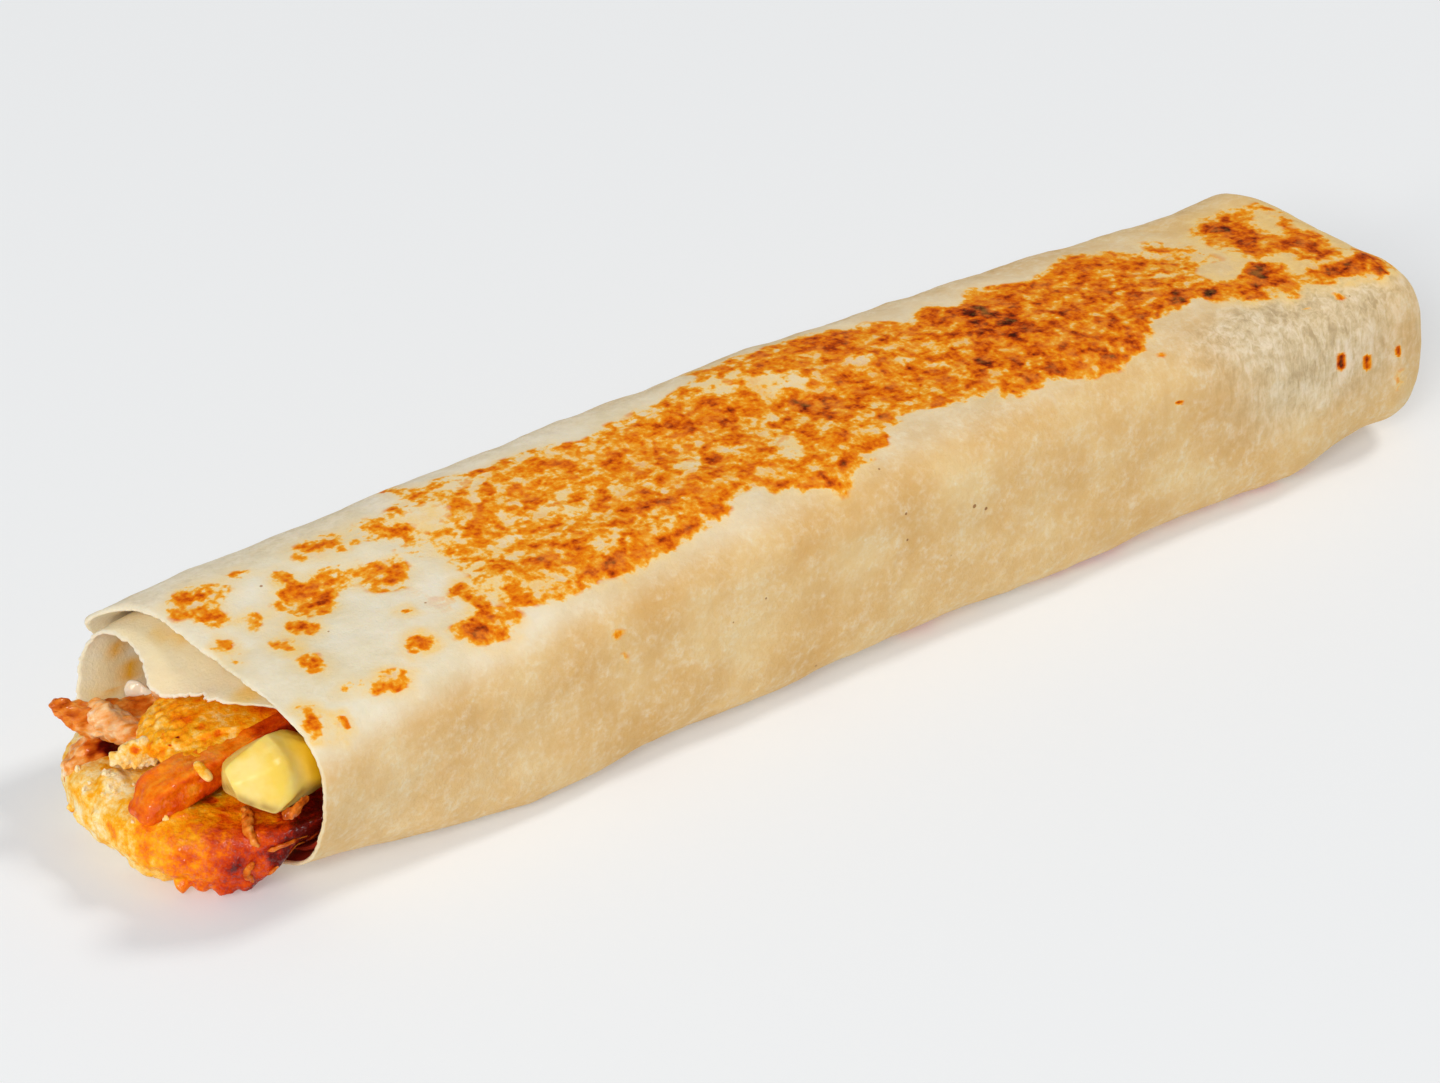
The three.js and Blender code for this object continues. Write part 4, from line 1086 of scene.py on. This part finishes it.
def cooked_meat(name, piece):
    """Cooked chicken meat: pinkish white where it is torn, orange and brown where it was seared and sauced,
    with drops of juice on it that shine"""
    tree, place = new_material(name, piece)
    stretched = node(tree, "Mapping", {"Vector": place, "Scale": (0.35, 1.0, 1.0)})
    fibre = node(tree, "TexNoise", {"Vector": stretched, "Scale": per_mm / 0.9, "Detail": 4.0,
                                    "Roughness": 0.65})
    broad = node(tree, "TexNoise",
                 {"Vector": place, "Scale": per_mm / 2.2, "Detail": 3.0, "Roughness": 0.65})
    browned = node(tree, "Attribute", attribute_name="browned")
    shift = node(tree, "MapRange", {0: fibre, 1: 0.3, 2: 0.7, 3: -0.12, 4: 0.12})
    shifted = node(tree, "Math", {0: browned, 1: shift}, operation="ADD")
    colour = node(tree, "ValToRGB", {"Fac": shifted}, [
        (0.0, "#fae4ca"), (0.2, "#f7c78e"), (0.38, "#f0993c"), (0.55, "#dc7016"), (0.7, "#b44a08"),
        (0.85, "#861c02"), (1.0, "#4c0401")])
    bump = node(tree, "Bump", {"Height": fibre, "Strength": 0.6, "Distance": 0.0005})
    skin = node(tree, "BsdfPrincipled", {
        "Base Color": colour, "Roughness": 0.45, "Normal": bump, "IOR": 1.42, "Specular IOR Level": 0.12,
        "Subsurface Weight": 0.3, "Subsurface Scale": 0.001, "Subsurface Radius": (1.0, 0.6, 0.4),
        "Coat Weight": node(tree, "MapRange", {0: broad, 1: 0.48, 2: 0.6, 4: 0.8}), "Coat Roughness": 0.15})
    node(tree, "OutputMaterial", {"Surface": skin})


meat_strip(
    "seared_outer_shred", "meat_strip_outer", "seared_chicken_shred",
    [(-19.6, 15.2, 22.8), (-16.0, 14.6, 19.4), (-9, 14.2, 15.8), (10, 15.5, 14.6)],
    lambda share: (mix(1.4, 3.0, smooth(0, 0.3, share)), mix(1.4, 3.6, smooth(0, 0.4, share))),
    power=1.6, ends=0.1, seed=110, rough=1.0, base=0.5,
    marks=[(-18.2, 12, 18.9, 1.3, 0.25), (-19.2, 14, 22.6, 1, 0.1), (-14.7, 11.8, 16.9, 1.8, -0.3),
           (-12.5, 12, 15.5, 2, -0.3)])
meat_strip(
    "pink_lower_shred", "meat_strip_lower", "pink_chicken_shred",
    [(-18.6, 13.8, 9.8), (-13, 14.4, 10.6), (4, 17, 9)],
    lambda share: (mix(3.0, 4.2, share), mix(4.2, 3.4, share)),
    power=1.6, ends=0.3, seed=120, rough=1.0, base=0.36,
    raised=[(-14.9, 11.8, 14.6, 1.5, 0.9), (-16.2, 10.6, 9, 1.6, 0.5)],
    # The last mark, pink-white at the shred's far left tip, is a painted highlight
    marks=[(-11.5, 12.2, 13.6, 2.6, 0.75), (-9.1, 11.8, 12.9, 2.4, 0.75), (-14.7, 11.9, 14.2, 2, 0.3),
           (-15.2, 10.6, 12.4, 1.8, 0.28), (-15.6, 10, 10, 1.5, 0.2), (-18.4, 15.3, 10.2, 1.8, -0.25)])
meat_strip(
    "pale_upper_shred", "meat_strip_pink", "pale_chicken_shred",
    [(-13.8, 14.0, 20.4), (-9.4, 10.2, 16.4), (10, 9, 16)], even(3.2, 2.2),
    power=1.6, ends=0.1, seed=130, rough=0.9, base=0.25,
    raised=[(-12.6, 11.6, 19.4, 1.2, 0.5)],
    marks=[(-9.3, 8.3, 17, 1.6, 0.12), (-12.6, 12, 19.6, 1, -0.15)])
meat_strip(
    "pale_meat_slice", "pale_slice", "pale_chicken_slice",
    [(-3.4, 12.6, 20.8), (6, 12.4, 21.4), (16, 12, 21.6)], even(1.1, 3.4),
    power=2.5, ends=0.14, seed=140, rough=0.3, base=0.2)

# Torn shreds: bits of the same meat that came off with the sauce and stick to it in the low front corner,
# and a lump of them under the potato. Each is a path, half its width and how browned it is.

shreds = [
    ([(-4.1, -13.9, 12.7), (-6.2, -17.4, 12.9), (-7.7, -20.1, 12.5), (-7.5, -21.9, 10.8)], 0.75, 0.5),
    ([(-8.3, -21.6, 8.2), (-9.0, -20.8, 5.8), (-8.0, -21.2, 4.4)], 0.5, 0.55),
    ([(-6.4, -22.6, 9.9), (-3.0, -24.2, 11.0), (0.4, -24.4, 10.6)], 0.35, 0.6),
    ([(-6.4, -22.6, 5.6), (-4.4, -23.4, 6.8), (-1.9, -24.1, 6.6)], 0.4, 0.5),
    ([(-4.0, -24.0, 8.3), (-1.4, -24.8, 9.0), (1.0, -24.6, 7.8)], 0.35, 0.66),
    ([(-6.2, -27.2, 18.6), (-4.0, -28.0, 19.2), (-1.4, -28.4, 20.2)], 0.9, 0.62),
    ([(-3.0, -21.6, 4.4), (-0.5, -22.8, 5.6), (2.0, -23.4, 8.0), (4.0, -24.0, 12.0)], 1.2, 0.84),
    ([(-1.0, -20.0, 3.2), (3.0, -20.5, 4.4), (6.0, -22.0, 6.0)], 1.3, 0.9),
]
for number, (path, reach, base) in enumerate(shreds):
    torn, _ = carried(path, even(reach, reach), rows=70, columns=24, ends=0.3)
    torn = torn + grid_normals(torn) * (0.6 * reach * noise(torn, 1, 150 + number))[..., None]
    torn = keep_inside(torn, 0.1)
    heat = base + 0.2 * noise(torn, 1.5, 160 + number)
    shred = closed_piece(f"torn_shred_{number}", torn, browned=np.clip(heat, 0, 1))
    cooked_meat(f"sauced_shred_meat_{number}", shred)

# Bulgur: one cooked grain of cracked wheat, soaked by the sauce and stuck to the fry

bulgur, _ = carried([(-9.3, -8.2, 19.8), (-8.2, -10.9, 17.4)], even(0.95, 0.75),
                    rows=40, columns=30, ends=0.5)
bulgur_grain = closed_piece("bulgur_grain", bulgur, browned=0.16, wet=0.5)
fried_batter("soaked_bulgur", bulgur_grain)

# Garlic sauce: a drop on the strips in front of the bread's back wall. It is smooth, whitish and wet,
# tinted by the oil round it.

garlic, _ = carried([(-4.2, 18.8, 18.4), (-2.8, 16.6, 17.3), (-1.4, 13.8, 16.4)], even(1.0, 1.8),
                    rows=60, columns=50, ends=0.4)
garlic = garlic + grid_normals(garlic) * (0.35 * noise(garlic, 2.2, 170))[..., None]
garlic_drop = closed_piece("garlic_sauce_drop", garlic)
tree = new_material("garlic_sauce", garlic_drop)[0]
skin = node(tree, "BsdfPrincipled", {
    "Base Color": "#f6e4ca", "Roughness": 0.2, "IOR": 1.4, "Subsurface Weight": 0.6,
    "Subsurface Scale": 0.002, "Subsurface Radius": (1.0, 0.8, 0.6)})
node(tree, "OutputMaterial", {"Surface": skin})

# Crumbs of batter: loose bits of crust, each about a millimetre across, lying on the lower piece's top and
# the upper part of its face, as one mesh

ball_rings = 4
ball_points = 6
crumb_count = 36


def crumb_mesh(name, middles, sizes, heat, seed):
    """Small lumps of 30 faces: a ball of rings of points and two poles, its points pushed in and out at
    random and each ball stretched at random"""
    random = np.random.default_rng(seed)
    down = np.linspace(0, np.pi, ball_rings + 2)[1:-1, None]
    around = np.linspace(0, 2 * np.pi, ball_points, endpoint=False)[None]
    ball = np.stack(np.broadcast_arrays(np.sin(down) * np.cos(around), np.sin(down) * np.sin(around),
                                        np.cos(down)), -1).reshape(-1, 3)
    ball = np.concatenate([ball, [[0, 0, 1], [0, 0, -1]]])
    count = len(ball)
    push = random.uniform(0.6, 1.3, (len(middles), count, 1))
    stretch = random.uniform(0.6, 1.3, (len(middles), 1, 3))
    points = middles[:, None] + sizes[:, None, None] * ball * push * stretch
    start = (np.arange(len(middles)) * count)[:, None, None]
    faces = []
    for shape in closed_faces(ball_rings, ball_points):
        outward = shape[:, ::-1]
        faces += (outward + start).reshape(-1, shape.shape[1]).tolist()
    browned = np.repeat(heat, count)
    return placed_piece(name, points.reshape(-1, 3), faces, {"browned": browned, "wet": 0.3 + 0 * browned})


random = np.random.default_rng(180)
inward, to_back, height_up = np.moveaxis(lower, -1, 0)
facing = grid_normals(lower)
# They lie only where the crust stands out of the mouth and looks up or to the front, in loose groups
looks_up = facing[..., 0] - facing[..., 1] + 1.2 * facing[..., 2] > 0.2
in_groups = (inward < -4) & (to_back > -9) & (height_up > 7) & (noise(lower, 5, 181) > -0.1)
chosen = random.choice(np.flatnonzero(looks_up & in_groups), crumb_count, replace=False)
crumb_sizes = random.uniform(0.28, 0.62, crumb_count)
crumb_middles = lower.reshape(-1, 3)[chosen] + facing.reshape(-1, 3)[chosen] * (0.4 * crumb_sizes)[:, None]
crumb_heat = np.clip(lower_heat.ravel()[chosen] - random.uniform(0.1, 0.3, crumb_count), 0, 1)
crumbs = crumb_mesh("batter_crumbs", crumb_middles, crumb_sizes, crumb_heat, 182)
fried_batter("loose_batter_crumbs", crumbs)

# Studio: a pale acrylic table lit from below, so that shadows on it stay faint, under soft boxes and an
# even sky. A small light low on the left reaches into the mouth.

floor_half = 6.0
floor_mesh = bpy.data.meshes.new("studio_floor")
floor_corners = [(-1, -1, 0), (1, -1, 0), (1, 1, 0), (-1, 1, 0)]
floor_mesh.from_pydata(np.multiply(floor_corners, floor_half), [], [(0, 1, 2, 3)])
floor = bpy.data.objects.new("studio_floor", floor_mesh)
bpy.context.scene.collection.objects.link(floor)
tree = new_material("lit_acrylic_table", floor)[0]
paint = node(tree, "BsdfPrincipled", {
    "Base Color": "#d6d9dc", "Roughness": 0.9, "Specular IOR Level": 0.1, "Emission Color": "#f6f8fb",
    "Emission Strength": 0.25})
node(tree, "OutputMaterial", {"Surface": paint})

world = bpy.data.worlds.new("studio_light")
bpy.context.scene.world = world
world.use_nodes = True
world.node_tree.nodes.clear()
sky = node(world.node_tree, "Background", {"Color": "#f4f5f7", "Strength": 0.36})
node(world.node_tree, "OutputWorld", {"Surface": sky})


def direction_axes(back):
    """Columns of a frame whose third axis is the given direction and whose first lies level"""
    back = back / np.linalg.norm(back)
    side = np.cross([0, 0, 1], back)
    side = side / np.linalg.norm(side)
    return np.stack([side, np.cross(back, side), back], -1)


def area_light(name, place, aim, size, power, colour):
    """A square soft box at a place in metres, turned to shine at a point"""
    lamp = bpy.data.lights.new(name, "AREA")
    lamp.size = size
    lamp.energy = power
    lamp.color = linear(colour)[:3]
    made = bpy.data.objects.new(name, lamp)
    turned = Matrix(direction_axes(np.array(place) - aim)).to_4x4()
    made.matrix_world = Matrix.Translation(place) @ turned
    bpy.context.scene.collection.objects.link(made)


area_light("key_softbox", (2.2, -0.4, 2.8), (0, 0, 0), 0.8, 48, "#fffaf2")
area_light("front_softbox", (-1.9, -1.6, 1.6), (-0.05, 0, 0.02), 0.8, 33, "#ffffff")
area_light("mouth_fill", (-1.35, -0.3, 0.5), (-0.1, 0, 0.02), 0.25, 5, "#fff6e8")

# Camera: a long lens from the front left, 1.3 metres away and high enough to show the top and the mouth.
# Its place is in metres and its turns are in degrees, and everything is in focus.

camera_place = (-0.6846, -0.9077, 0.6897)
camera_azimuth = 36.773
camera_down = 30.718
camera_roll = 0.448
lens_mm = 208.2

camera_data = bpy.data.cameras.new("camera")
camera_data.lens = lens_mm
camera_data.sensor_width = 36
camera_data.clip_start = 0.05
camera_data.clip_end = 50
camera = bpy.data.objects.new("camera", camera_data)
camera.matrix_world = (
    Matrix.Translation(camera_place)
    @ Matrix.Rotation(-camera_azimuth * degrees, 4, "Z")
    @ Matrix.Rotation((90 - camera_down) * degrees, 4, "X")
    @ Matrix.Rotation(-camera_roll * degrees, 4, "Z")
)
bpy.context.scene.collection.objects.link(camera)
bpy.context.scene.camera = camera
bpy.context.scene.view_settings.view_transform = "Standard"
